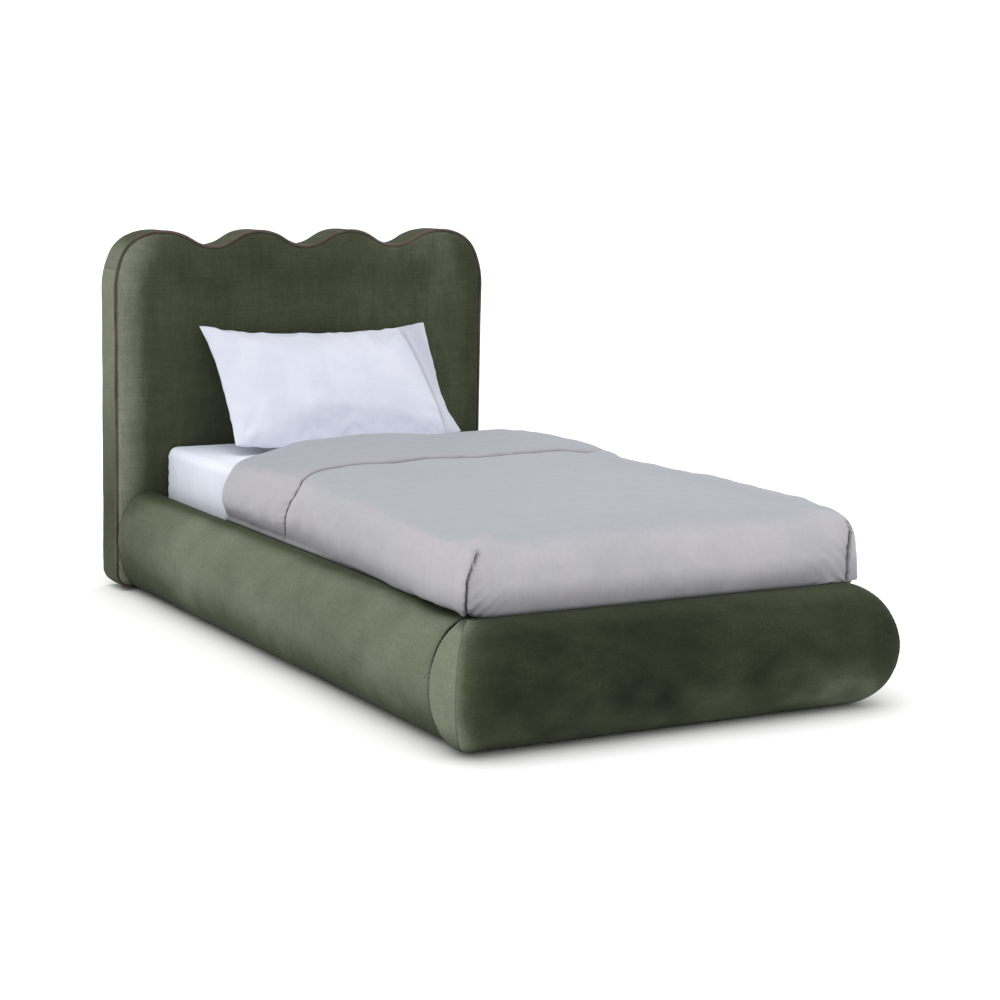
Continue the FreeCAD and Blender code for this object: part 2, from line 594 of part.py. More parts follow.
def one_solid(shape):
    solids = [s for s in shape.Solids if s.Volume > 1.0]
    return solids[0] if len(solids) == 1 else Part.makeCompound(solids)


keep(feature("foot_end_left", one_solid(foot_skin.common(wedge_l))), "foot_end_panel_left")
keep(feature("foot_end_right", one_solid(foot_skin.common(wedge_r))), "foot_end_panel_right")
keep(feature("foot_cover", one_solid(foot_skin.cut(wedge_l).cut(wedge_r))), "foot_board_cover")
foot_core_blank = box("foot_core_blank", "-Dims.foot_core_half", "-(Dims.seam_y + Dims.skin + Dims.core_thick)",
                      "Dims.core_low", "2 * Dims.foot_core_half", "Dims.core_thick", "Dims.core_high - Dims.core_low")
keep(cut("foot_core", foot_core_blank, timber_holes), "foot_board_core")
doc.recompute()
foot_foam = foot_inner.cut(foot_core_blank.Shape).cut(nut_recesses.Shape)
keep(feature("foot_foam", one_solid(foot_foam)), "foot_board_foam")

# ---------------------------------------------------------------------- slats
SLATS = 14
rad = D("slat_half") ** 2 / (2 * D("slat_rise")) + D("slat_rise") / 2.0
for i in range(SLATS):
    label = "slat_%02d" % (i + 1)
    body = new_body(label)
    s = sketch(body, label + "_profile", "XZ_Plane",
               "-(Dims.slat_first + %d * Dims.slat_pitch + Dims.slat_width / 2)" % i)
    cz = D("slat_mid") - rad
    ro, ri = rad + D("slat_thick") / 2.0, rad - D("slat_thick") / 2.0
    half = math.asin(D("slat_half") / rad)
    a0, a1 = math.pi / 2 - half, math.pi / 2 + half
    outer = Part.ArcOfCircle(Part.Circle(V(0, cz, 0), V(0, 0, 1), ro), a0, a1)
    inner = Part.ArcOfCircle(Part.Circle(V(0, cz, 0), V(0, 0, 1), ri), a0, a1)

    def at(r, a):
        return V(r * math.cos(a), cz + r * math.sin(a), 0)
    s.addGeometry([outer, inner, Part.LineSegment(at(ri, a0), at(ro, a0)),
                   Part.LineSegment(at(ri, a1), at(ro, a1))], False)
    pad(body, label + "_pad", s, "Dims.slat_width * 1 mm")
    keep(body, label)

holders = []
for side, sgn in (("left", -1), ("right", 1)):
    for i in range(SLATS):
        yc = "Dims.slat_first + %d * Dims.slat_pitch" % i
        x0 = "Dims.holder_in" if sgn > 0 else "-Dims.holder_out"
        z0 = "Dims.ledge_low + Dims.ledge_height"
        block = box("holder_block_%s_%d" % (side, i), x0, yc + " - Dims.holder_width / 2", z0,
                    "Dims.holder_out - Dims.holder_in", "Dims.holder_width", "Dims.holder_height")
        px = "Dims.holder_in - 2" if sgn > 0 else "-Dims.holder_in - 26"
        pocket = box("holder_pocket_%s_%d" % (side, i), px, yc + " - Dims.slat_width / 2 - 0.3", z0 + " + 8.6",
                     "28", "Dims.slat_width + 0.6", "10.2")
        holders.append(cut("holder_%s_%d" % (side, i), block, pocket))
keep(bundle("holders", holders), "slat_holders")

# --------------------------------------------------------------- floor glides
glides = []
for sgn in (-1, 1):
    for j, yy in enumerate((-600, 0, 600)):
        glides.append(rod("glide_rail_%d_%d" % (sgn, j), "z", "Dims.glide_rad", "Dims.rail_base",
                          "%d * Dims.rail_ridge" % sgn, str(yy), "0"))
    glides.append(rod("glide_foot_%d" % sgn, "z", "Dims.glide_rad", "Dims.rail_base",
                      "%d * 400" % sgn, "-Dims.foot_ridge_y", "0"))
glides += [rod("glide_head_%d" % sgn, "z", "Dims.glide_rad", "Dims.head_base",
              "%d * 480" % sgn, "Dims.ply_face + Dims.ply_thick + Dims.timber_depth / 2", "0") for sgn in (-1, 1)]
keep(bundle("glides", glides), "floor_glides")

# -------------------------------------------------------------------- mattress
def slab(label, grow, low, height, hollow=None):
    """Rounded rectangle prism; grow moves the plan outwards from the mattress."""
    body = new_body(label)
    s = sketch(body, label + "_plan", "XY_Plane", low)

    def outline(g):
        hw, y0, y1, r = D("bed_half") + g, -D("bed_foot") - g, D("bed_head") + g, D("bed_corner") + g
        out = []
        for cx, cy, a in ((hw - r, y0 + r, -90), (hw - r, y1 - r, 0), (-hw + r, y1 - r, 90), (-hw + r, y0 + r, 180)):
            out.append(Part.ArcOfCircle(Part.Circle(V(cx, cy, 0), V(0, 0, 1), r),
                                        math.radians(a), math.radians(a + 90)))
        out += [Part.LineSegment(V(-hw + r, y0, 0), V(hw - r, y0, 0)), Part.LineSegment(V(hw, y0 + r, 0), V(hw, y1 - r, 0)),
                Part.LineSegment(V(hw - r, y1, 0), V(-hw + r, y1, 0)), Part.LineSegment(V(-hw, y1 - r, 0), V(-hw, y0 + r, 0))]
        return out
    s.addGeometry(outline(grow), False)
    if hollow is not None:
        s.addGeometry(outline(hollow), False)
    pad(body, label + "_pad", s, height)
    return body


bb = D("bed_border")
keep(slab("mattress_bottom_panel", -bb, "Dims.bed_low", "Dims.bed_panel * 1 mm"), "mattress_bottom_panel")
keep(slab("mattress_core", -bb, "Dims.bed_low + Dims.bed_panel", "Dims.bed_core * 1 mm"), "mattress_core")
keep(slab("mattress_top_panel", -bb, "Dims.bed_low + Dims.bed_panel + Dims.bed_core", "Dims.bed_panel * 1 mm"),
     "mattress_top_panel")
keep(slab("mattress_border", 0.0, "Dims.bed_low", "(2 * Dims.bed_panel + Dims.bed_core) * 1 mm", hollow=-bb),
     "mattress_border")
# fitted sheet: an open-bottomed cover
sheet_body = slab("fitted_sheet", D("sheet_thick"), "Dims.sheet_low",
                  "(Dims.bed_low + 2 * Dims.bed_panel + Dims.bed_core - Dims.sheet_low) * 1 mm", hollow=0.0)
doc.recompute()
s = sketch(sheet_body, "sheet_top_plan", "XY_Plane", "Dims.bed_low + 2 * Dims.bed_panel + Dims.bed_core")
g = D("sheet_thick")
hw, y0, y1, r = D("bed_half") + g, -D("bed_foot") - g, D("bed_head") + g, D("bed_corner") + g
geo = []
for cx, cy, a in ((hw - r, y0 + r, -90), (hw - r, y1 - r, 0), (-hw + r, y1 - r, 90), (-hw + r, y0 + r, 180)):
    geo.append(Part.ArcOfCircle(Part.Circle(V(cx, cy, 0), V(0, 0, 1), r), math.radians(a), math.radians(a + 90)))
geo += [Part.LineSegment(V(-hw + r, y0, 0), V(hw - r, y0, 0)), Part.LineSegment(V(hw, y0 + r, 0), V(hw, y1 - r, 0)),
        Part.LineSegment(V(hw - r, y1, 0), V(-hw + r, y1, 0)), Part.LineSegment(V(-hw, y1 - r, 0), V(-hw, y0 + r, 0))]
s.addGeometry(geo, False)
pad(sheet_body, "sheet_top", s, "Dims.sheet_thick * 1 mm")
keep(sheet_body, "fitted_sheet")

# ----------------------------------------------------------------------- duvet
tuck = box("duvet_tuck", "-Dims.duvet_tuck_half", "-Dims.duvet_tuck_foot", "Dims.duvet_low",
           "2 * Dims.duvet_tuck_half", "Dims.duvet_tuck_foot + Dims.duvet_head", "Dims.duvet_waist - Dims.duvet_low")
upper = box("duvet_upper", "-Dims.duvet_half", "-Dims.duvet_foot", "Dims.duvet_waist",
            "2 * Dims.duvet_half", "Dims.duvet_foot + Dims.duvet_head", "Dims.duvet_top - Dims.duvet_waist")
turn = box("duvet_turned", "-Dims.duvet_half", "Dims.turn_foot", "Dims.duvet_top",
           "2 * Dims.duvet_half", "Dims.duvet_head - Dims.turn_foot", "Dims.turn_top - Dims.duvet_top")
whole = fuse("duvet_whole", [tuck, upper, turn])
whole.Refine = True
inside_z = "Dims.bed_low + 2 * Dims.bed_panel + Dims.bed_core + Dims.sheet_thick + Dims.duvet_gap"
room = box("duvet_room", "-(Dims.bed_half + Dims.sheet_thick + Dims.duvet_gap)",
           "-(Dims.bed_foot + Dims.sheet_thick + Dims.duvet_gap)", "Dims.duvet_low - 5",
           "2 * (Dims.bed_half + Dims.sheet_thick + Dims.duvet_gap)",
           "Dims.bed_foot + Dims.sheet_thick + Dims.duvet_gap + Dims.duvet_head + 5",
           inside_z + " - Dims.duvet_low + 5")
duvet_blank = cut("duvet_blank", whole, room)
doc.recompute()
top_edges = []
for n, e in enumerate(duvet_blank.Shape.Edges, start=1):
    bb_ = e.BoundBox
    flat_top = abs(bb_.ZMin - D("turn_top")) < 0.01 and abs(bb_.ZMax - D("turn_top")) < 0.01
    main_top = (abs(bb_.ZMin - D("duvet_top")) < 0.01 and abs(bb_.ZMax - D("duvet_top")) < 0.01
                and (bb_.YMax < D("turn_foot") - 1) or
                (abs(bb_.ZMin - D("duvet_top")) < 0.01 and abs(bb_.ZMax - D("duvet_top")) < 0.01
                 and bb_.YMin < -D("duvet_foot") + 1))
    upright = bb_.ZMax - bb_.ZMin > 100 and bb_.YMax < -D("duvet_foot") + 1
    if upright:
        top_edges.append((n, 26.0, 26.0))
soft = doc.addObject("Part::Fillet", "duvet_soft")
soft.Base = duvet_blank
soft.Edges = top_edges
keep(soft, "duvet")

# ---------------------------------------------------------------------- pillow
def pillow_solid(grow):
    wires = []
    U, tall, fat = D("pillow_half"), D("pillow_tall"), D("pillow_fat")
    for f in (-1.0, -0.92, -0.78, -0.5, 0.0, 0.5, 0.78, 0.92, 1.0):
        u = f * (U + grow)
        hv = (tall * (1.0 - 0.05 * (1.0 - f * f))) + grow
        hn = 4.0 + (fat - 4.0) * (1.0 - abs(f) ** 2.6) ** 0.62 + grow
        pts = []
        for j in range(24):
            a = 2 * math.pi * j / 24
            c, sn = math.cos(a), math.sin(a)
            pts.append(V(u, hn * math.copysign(abs(c) ** 1.0, c), hv * math.copysign(abs(sn) ** 0.72, sn)))
        curve = Part.BSplineCurve()
        curve.interpolate(pts, PeriodicFlag=True)
        wires.append(Part.Wire([curve.toShape()]))
    return Part.makeLoft(wires, True, False)


pad_shape = pillow_solid(-D("case_thick"))
case_shape = pillow_solid(0.0).cut(pad_shape)
mouth = Part.makeBox(40, 5, 2 * D("pillow_tall") * 0.7, V(D("pillow_half") - 22, -2.5, -D("pillow_tall") * 0.7))
case_shape = case_shape.cut(mouth)
place = FreeCAD.Placement(V(D("pillow_x"), D("pillow_y"), D("pillow_z")),
                          FreeCAD.Rotation(V(1, 0, 0), -D("pillow_lean")))
for nm, shp in (("pillow_filling", pad_shape), ("pillowcase", one_solid(case_shape))):
    f = doc.addObject("Part::Feature", nm)
    f.Shape = shp
    f.Placement = place
    keep(f, nm)

# ---------------------------------------------------------------------- checks
doc.recompute()
bad = []
for obj in doc.Objects:
    if any(flag in ("Invalid", "Error") for flag in obj.State):
        bad.append("%s: %s" % (obj.Name, obj.State))
for label, obj in NODES:
    if obj.Shape.isNull() or not obj.Shape.isValid() or not obj.Shape.Solids:
        bad.append("%s: null, invalid or empty shape" % label)
if len({label for label, _ in NODES}) != len(NODES):
    bad.append("two sub-parts share a name")
if len(NODES) > 60:
    bad.append("more than 60 sub-parts: %d" % len(NODES))
if bad:
    print("\n".join(bad))
    sys.exit(1)

os.makedirs("parts", exist_ok=True)
low, high = V(1e9, 1e9, 1e9), V(-1e9, -1e9, -1e9)
for label, obj in NODES:
    obj.Shape.exportStep("parts/%s.step" % label)
    b = obj.Shape.BoundBox
    low = V(min(low.x, b.XMin), min(low.y, b.YMin), min(low.z, b.ZMin))
    high = V(max(high.x, b.XMax), max(high.y, b.YMax), max(high.z, b.ZMax))
    print("%-30s solids %3d  volume %12.0f  X %8.1f %8.1f  Y %8.1f %8.1f  Z %7.1f %7.1f" % (
        label, len(obj.Shape.Solids), obj.Shape.Volume, b.XMin, b.XMax, b.YMin, b.YMax, b.ZMin, b.ZMax))
print("sub-parts:", len(NODES), "box:", low, high)
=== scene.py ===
import math

import bmesh
import bpy
import numpy as np
from mathutils import Matrix, Vector, kdtree


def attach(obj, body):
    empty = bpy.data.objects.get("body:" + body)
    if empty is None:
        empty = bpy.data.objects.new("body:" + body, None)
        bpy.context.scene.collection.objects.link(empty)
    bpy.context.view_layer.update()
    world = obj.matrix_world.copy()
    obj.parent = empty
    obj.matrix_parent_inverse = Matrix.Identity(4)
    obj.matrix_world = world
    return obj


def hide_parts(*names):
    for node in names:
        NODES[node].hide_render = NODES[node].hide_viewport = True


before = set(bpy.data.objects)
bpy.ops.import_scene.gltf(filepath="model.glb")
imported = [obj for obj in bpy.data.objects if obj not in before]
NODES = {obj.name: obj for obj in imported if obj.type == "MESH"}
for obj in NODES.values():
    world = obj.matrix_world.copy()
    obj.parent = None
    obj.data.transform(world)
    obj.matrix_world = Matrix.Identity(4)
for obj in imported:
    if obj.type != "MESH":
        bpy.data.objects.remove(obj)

scene = bpy.context.scene
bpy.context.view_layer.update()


# =============================================================== small tools
def smooth(a, b, x):
    t = np.clip((np.asarray(x, float) - a) / (b - a), 0.0, 1.0)
    return t * t * (3 - 2 * t)


def waves(P, size, seed, n=12, squeeze=(1, 1, 1)):
    """Smooth repeatable unevenness, about -1 to 1, with lumps about size long."""
    r = np.random.RandomState(seed)
    out = np.zeros(P.shape[:-1])
    for _ in range(n):
        k = r.normal(size=3)
        k *= (0.55 + 0.9 * r.rand()) * 2 * math.pi / size / np.linalg.norm(k)
        out += np.cos((P * np.array(squeeze)) @ k + 2 * math.pi * r.rand())
    return out / math.sqrt(n / 2.0) * 0.7


def grid_faces(nu, nv, off=0, wrap_u=False, wrap_v=False):
    i = np.arange(nu if wrap_u else nu - 1)[:, None]
    j = np.arange(nv if wrap_v else nv - 1)[None, :]
    i2, j2 = (i + 1) % nu, (j + 1) % nv
    f = np.stack(np.broadcast_arrays(i * nv + j, i2 * nv + j, i2 * nv + j2, i * nv + j2), -1)
    return (f.reshape(-1, 4) + off).tolist()


def grid_normals(P, wrap_u=False, wrap_v=False):
    def step(A, axis, wrap):
        if wrap:
            return np.roll(A, -1, axis) - np.roll(A, 1, axis)
        return np.gradient(A, axis=axis)
    n = np.cross(step(P, 0, wrap_u), step(P, 1, wrap_v))
    return n / np.maximum(np.linalg.norm(n, axis=-1, keepdims=True), 1e-12)


def build(name, parts, mat, attrs=None, sharp=None, weld=2e-5, recalc=True):
    """One object from several (points, faces) parts; attrs has one array per part."""
    verts, faces, off = [], [], 0
    for v, f in parts:
        v = np.asarray(v, float).reshape(-1, 3)
        verts.append(v)
        faces += [tuple(i + off for i in q) for q in f]
        off += len(v)
    verts = np.concatenate(verts)
    me = bpy.data.meshes.new(name)
    me.from_pydata(verts.tolist(), [], faces)
    for key, arrays in (attrs or {}).items():
        data = np.concatenate([np.asarray(a, float).ravel() for a in arrays])
        at = me.attributes.new(key, "FLOAT", "POINT")
        at.data.foreach_set("value", data.astype(np.float32))
    bm = bmesh.new()
    bm.from_mesh(me)
    if weld:
        bmesh.ops.remove_doubles(bm, verts=bm.verts, dist=weld)
        bmesh.ops.dissolve_degenerate(bm, edges=bm.edges, dist=1e-7)
    if recalc:
        bmesh.ops.recalc_face_normals(bm, faces=bm.faces)
    bm.to_mesh(me)
    bm.free()
    me.polygons.foreach_set("use_smooth", [True] * len(me.polygons))
    if sharp:
        me.set_sharp_from_angle(angle=math.radians(sharp))
    me.materials.append(mat)
    ob = bpy.data.objects.new(name, me)
    scene.collection.objects.link(ob)
    return ob


def shell_faces(nu, nv, wrap_u=False):
    """Faces of a closed shell whose outer grid comes first and inner grid second."""
    n = nu * nv
    f = grid_faces(nu, nv, 0, wrap_u) + [q[::-1] for q in grid_faces(nu, nv, n, wrap_u)]
    last = nu if wrap_u else nu - 1
    for i in range(last):
        a, b = i * nv, ((i + 1) % nu) * nv
        f.append([a, a + n, b + n, b])
        a, b = a + nv - 1, b + nv - 1
        f.append([a, b, b + n, a + n])
    if not wrap_u:
        for j in range(nv - 1):
            f.append([j, j + 1, j + 1 + n, j + n])
            a = (nu - 1) * nv + j
            f.append([a, a + n, a + 1 + n, a + 1])
    return f


def resample(P, n, closed=False):
    P = np.asarray(P, float)
    if closed:
        P = np.vstack([P, P[:1]])
    s = np.r_[0, np.cumsum(np.linalg.norm(np.diff(P, axis=0), axis=1))]
    t = np.linspace(0, s[-1], n + 1)[:-1] if closed else np.linspace(0, s[-1], n)
    return np.stack([np.interp(t, s, P[:, k]) for k in range(P.shape[1])], 1)


def spline(points, t):
    """Centripetal-like cubic through the control points at parameters t in 0..1."""
    P = np.asarray(points, float)
    d = np.r_[0, np.cumsum(np.sqrt(np.linalg.norm(np.diff(P, axis=0), axis=1)))]
    d /= d[-1]
    m = np.gradient(P, d, axis=0)
    t = np.clip(np.asarray(t, float), 0, 1)
    i = np.clip(np.searchsorted(d, t, side="right") - 1, 0, len(d) - 2)
    h = d[i + 1] - d[i]
    u = ((t - d[i]) / h)[:, None]
    h = h[:, None]
    return ((2 * u ** 3 - 3 * u ** 2 + 1) * P[i] + (u ** 3 - 2 * u ** 2 + u) * h * m[i]
            + (-2 * u ** 3 + 3 * u ** 2) * P[i + 1] + (u ** 3 - u ** 2) * h * m[i + 1])


# ================================================================= materials
def lin(r, g, b):
    def f(c):
        c /= 255.0
        return c / 12.92 if c <= 0.04045 else ((c + 0.055) / 1.055) ** 2.4
    return (f(r), f(g), f(b), 1.0)


class Nodes:
    def __init__(self, name, rough=0.6, **sockets):
        self.mat = bpy.data.materials.new(name)
        self.mat.use_nodes = True
        self.tree = self.mat.node_tree
        self.bsdf = self.tree.nodes["Principled BSDF"]
        self.bsdf.inputs["Roughness"].default_value = rough
        for k, v in sockets.items():
            self.bsdf.inputs[k.replace("_", " ")].default_value = v
        self.obj = self.add("ShaderNodeTexCoord").outputs["Object"]

    def add(self, kind, ins=None, **props):
        n = self.tree.nodes.new(kind)
        for k, v in props.items():
            setattr(n, k, v)
        for k, v in (ins or {}).items():
            if isinstance(v, bpy.types.NodeSocket):
                self.tree.links.new(v, n.inputs[k])
            else:
                n.inputs[k].default_value = v
        return n

    def mapped(self, scale, rot=(0, 0, 0), loc=(0, 0, 0), src=None):
        return self.add("ShaderNodeMapping", {"Vector": src or self.obj, "Scale": scale, "Rotation": rot,
                                              "Location": loc}).outputs[0]

    def noise(self, scale, detail=3.0, rough=0.5, vec=None, dist=0.0):
        return self.add("ShaderNodeTexNoise", {"Vector": vec or self.obj, "Scale": scale, "Detail": detail,
                                               "Roughness": rough, "Distortion": dist}).outputs[0]

    def attr(self, name):
        return self.add("ShaderNodeAttribute", attribute_name=name).outputs["Fac"]

    def math(self, op, a, b=0.0, c=None, clamp=False):
        ins = {0: a, 1: b}
        if c is not None:
            ins[2] = c
        return self.add("ShaderNodeMath", ins, operation=op, use_clamp=clamp).outputs[0]

    def span(self, x, a, b, lo=0.0, hi=1.0):
        return self.add("ShaderNodeMapRange", {0: x, 1: a, 2: b, 3: lo, 4: hi},
                        interpolation_type="SMOOTHSTEP").outputs[0]

    def mix(self, f, a, b, blend="MIX"):
        n = self.add("ShaderNodeMix", data_type="RGBA", blend_type=blend)
        for i, v in ((0, f), (6, a), (7, b)):
            if isinstance(v, bpy.types.NodeSocket):
                self.tree.links.new(v, n.inputs[i])
            else:
                n.inputs[i].default_value = v
        return n.outputs[2]

    def ramp(self, f, stops):
        n = self.add("ShaderNodeValToRGB", {0: f})
        e = n.color_ramp.elements
        while len(e) < len(stops):
            e.new(0.5)
        for el, (p, c) in zip(e, stops):
            el.position, el.color = p, c
        return n.outputs[0]

    def tone(self, colour, factor):
        """colour times a number socket."""
        g = self.add("ShaderNodeCombineColor", {0: factor, 1: factor, 2: factor}).outputs[0]
        return self.mix(1.0, colour, g, "MULTIPLY")

    def bump(self, height, strength=0.3, dist=0.001, prev=None):
        ins = {"Height": height, "Strength": strength, "Distance": dist}
        if prev is not None:
            ins["Normal"] = prev
        return self.add("ShaderNodeBump", ins).outputs[0]

    def done(self, colour, normal=None, rough=None):
        self.tree.links.new(colour, self.bsdf.inputs["Base Color"])
        if normal is not None:
            self.tree.links.new(normal, self.bsdf.inputs["Normal"])
        if rough is not None:
            self.tree.links.new(rough, self.bsdf.inputs["Roughness"])
        return self.mat


def velvet(name, dark, mid, light, blotch=0.30, slub=0.10, brush=(1.0, 1.0, 1.0), pool=4.0):
    """Short cotton pile. A per-point attribute sets painted light and shade: how far the pile turns to the light picks
    the colour along the ramp, with real nap streaks mixed in.
    """
    m = Nodes(name, 0.88, Specular_IOR_Level=0.12, Sheen_Weight=0.03, Sheen_Roughness=0.45)
    m.bsdf.inputs["Sheen Tint"].default_value = light
    big = m.noise(pool, 3.5, 0.55, m.mapped(brush), 0.4)
    midn = m.noise(21.0, 4.0, 0.6, m.mapped((brush[0], brush[1], brush[2] * 0.8), (0.3, 0.2, 0.5)), 0.6)
    nap_and_painted_light = m.attr("nap_and_painted_light")
    painted_shade = m.attr("painted_shade")
    # painted light and shade from the per-point attribute, plus random pile blotches
    f = m.math("ADD", nap_and_painted_light, m.math("MULTIPLY", m.math("SUBTRACT", big, 0.5), blotch * 1.6))
    f = m.math("ADD", f, m.math("MULTIPLY", m.math("SUBTRACT", midn, 0.5), blotch * 0.8), clamp=True)
    col = m.ramp(f, [(0.0, dark), (0.42, mid), (1.0, light)])
    lines = None
    for sc in ((210, 13, 15), (15, 210, 15), (11, 13, 210)):
        n = m.noise(1.0, 2.0, 0.6, m.mapped(sc))
        lines = n if lines is None else m.math("ADD", lines, n)
    soft = m.noise(1.0, 2.0, 0.5, m.mapped((13, 13, 90)))
    soft = m.math("ADD", soft, m.noise(1.0, 2.0, 0.5, m.mapped((90, 90, 11))))
    k = m.math("ADD", m.math("MULTIPLY", m.math("SUBTRACT", lines, 1.5), slub * 2.0),
               m.math("MULTIPLY", m.math("SUBTRACT", soft, 1.0), slub * 1.3))
    pile = m.noise(900.0, 2.0, 0.7)
    mottle = m.noise(230.0, 3.0, 0.7)
    k = m.math("ADD", m.math("ADD", k, 1.0), m.math("MULTIPLY", m.math("SUBTRACT", pile, 0.5), 0.20))
    k = m.math("ADD", k, m.math("MULTIPLY", m.math("SUBTRACT", mottle, 0.5), 0.95))
    col = m.tone(col, k)
    # painted shade: darker where the per-point shade attribute is set, in seams, grooves and recesses
    col = m.tone(col, m.math("SUBTRACT", 1.0, m.math("MULTIPLY", painted_shade, 0.93), clamp=True))
    nrm = m.bump(lines, 0.10, 0.0006)
    nrm = m.bump(pile, 0.22, 0.0005, nrm)
    return m.done(col, nrm)


def cloth(name, colour, other, weave=1500.0, rough=0.75, sheen=0.12, fold=0.25, painted_cool_top=None, thread=0.05,
          streak=(3.0, 3.0, 3.0)):
    """Woven cotton: two crossing thread directions, faint streaks and faint creasing."""
    m = Nodes(name, rough, Specular_IOR_Level=0.25, Sheen_Weight=sheen, Sheen_Roughness=0.4)
    drift = m.noise(2.2, 3.0, 0.5, m.mapped(streak))
    col = m.mix(m.span(drift, 0.35, 0.65), colour, other)
    if painted_cool_top is not None:
        # painted light: faces marked as facing up get a cooler, daylight-lit tint
        col = m.mix(m.math("MULTIPLY", m.attr("top"), 1.0, clamp=True), col, painted_cool_top)
    wx = m.add("ShaderNodeTexWave", {"Vector": m.obj, "Scale": weave / 6.283, "Distortion": 0.6, "Detail": 1.0},
               bands_direction="X").outputs[1]
    wy = m.add("ShaderNodeTexWave", {"Vector": m.obj, "Scale": weave / 6.283, "Distortion": 0.6, "Detail": 1.0},
               bands_direction="Y").outputs[1]
    wz = m.add("ShaderNodeTexWave", {"Vector": m.obj, "Scale": weave / 6.283, "Distortion": 0.6, "Detail": 1.0},
               bands_direction="Z").outputs[1]
    w = m.math("ADD", m.math("MULTIPLY", wx, wy), m.math("MULTIPLY", wy, wz))
    slubs = m.math("ADD", m.noise(1.0, 2.0, 0.5, m.mapped((12, 300, 60))), m.noise(1.0, 2.0, 0.5, m.mapped((300, 12, 60))))
    slubs = m.math("ADD", slubs, m.noise(1.0, 2.0, 0.5, m.mapped((90, 90, 10))))
    k = m.math("ADD", m.math("MULTIPLY", m.math("SUBTRACT", slubs, 1.5), thread),
               m.math("ADD", m.math("MULTIPLY", m.math("SUBTRACT", w, 0.5), 0.02), 1.0))
    col = m.tone(col, k)
    # painted shade: darker where the per-point shade attribute is set (folds, hems, low sides)
    col = m.tone(col, m.math("SUBTRACT", 1.0, m.math("MULTIPLY", m.attr("painted_shade"), 0.92), clamp=True))
    crease = m.noise(9.0, 5.0, 0.62, m.mapped((1.0, 1.6, 1.3)), 1.2)
    nrm = m.bump(crease, fold, 0.010)
    nrm = m.bump(slubs, 0.12, 0.0008, nrm)
    nrm = m.bump(w, 0.15, 0.0003, nrm)
    return m.done(col, nrm)


def timber(name, pale, dark, along, ring=9.0, rough=0.55, fine=160.0):
    """Wood with its grain along one axis (0, 1 or 2)."""
    m = Nodes(name, rough, Specular_IOR_Level=0.35)
    stretch = [1.0, 1.0, 1.0]
    stretch[along] = 0.07
    warp = m.noise(3.0, 2.0, 0.5, m.mapped(stretch))
    vec = m.add("ShaderNodeVectorMath", {0: m.mapped([x * ring for x in stretch]), 1: (0, 0, 0)}, operation="ADD").outputs[0]
    rings = m.noise(2.2, 4.0, 0.6, vec, 2.2)
    hair = m.noise(1.0, 3.0, 0.6, m.mapped([fine * x for x in (stretch if along != 1 else stretch)]))
    pores = m.noise(1.0, 2.0, 0.5, m.mapped([fine * 3.2 * x for x in stretch]))
    f = m.math("ADD", m.math("MULTIPLY", rings, 0.7), m.math("MULTIPLY", hair, 0.3))
    col = m.ramp(f, [(0.32, dark), (0.52, pale), (0.72, tuple(0.5 * (a + b) for a, b in zip(pale, dark)))])
    col = m.tone(col, m.span(warp, 0.2, 0.8, 0.86, 1.08))
    col = m.tone(col, m.span(pores, 0.30, 0.45, 0.84, 1.0))
    nrm = m.bump(hair, 0.18, 0.0006)
    nrm = m.bump(pores, 0.25, 0.0004, nrm)
    return m.done(col, nrm, m.span(rings, 0.2, 0.8, rough - 0.08, rough + 0.10))


def ply(name):
    m = Nodes(name, 0.6, Specular_IOR_Level=0.3)
    y = m.add("ShaderNodeSeparateXYZ", {0: m.obj}).outputs[1]
    band = m.math("SINE", m.math("MULTIPLY", y, 6.2832 / 0.0034))
    grain = m.noise(1.0, 4.0, 0.6, m.mapped((60, 60, 3)), 0.5)
    col = m.ramp(grain, [(0.3, (0.42, 0.27, 0.14, 1)), (0.6, (0.62, 0.45, 0.27, 1))])
    col = m.tone(col, m.span(band, -0.4, 0.4, 0.72, 1.05))
    return m.done(col, m.bump(grain, 0.2, 0.0008))


def board(name):
    m = Nodes(name, 0.55, Specular_IOR_Level=0.4)
    fleck = m.noise(420, 3.0, 0.7)
    col = m.ramp(fleck, [(0.3, (0.10, 0.055, 0.03, 1)), (0.6, (0.20, 0.12, 0.07, 1)), (0.8, (0.27, 0.17, 0.10, 1))])
    return m.done(col, m.bump(fleck, 0.25, 0.0004))


def metal(name, a, b, rough, metallic, grain=260.0, wear=None):
    m = Nodes(name, rough, Metallic=metallic)
    n = m.noise(grain, 3.0, 0.6)
    c = m.noise(35.0, 3.0, 0.6)
    col = m.mix(m.span(c, 0.35, 0.7), a, b)
    if wear is not None:
        edge = m.add("ShaderNodeNewGeometry").outputs["Pointiness"]
        col = m.mix(m.span(edge, 0.54, 0.60), col, wear)
    return m.done(col, m.bump(n, 0.12, 0.0003), m.span(c, 0.2, 0.8, rough - 0.07, rough + 0.10))


def plastic(name):
    m = Nodes(name, 0.5, Specular_IOR_Level=0.4)
    g = m.noise(1300.0, 2.0, 0.6)
    s = m.noise(30.0, 3.0, 0.6)
    col = m.mix(m.span(s, 0.4, 0.7), (0.012, 0.012, 0.012, 1), (0.024, 0.024, 0.023, 1))
    return m.done(col, m.bump(g, 0.25, 0.0002), m.span(g, 0.3, 0.7, 0.42, 0.62))


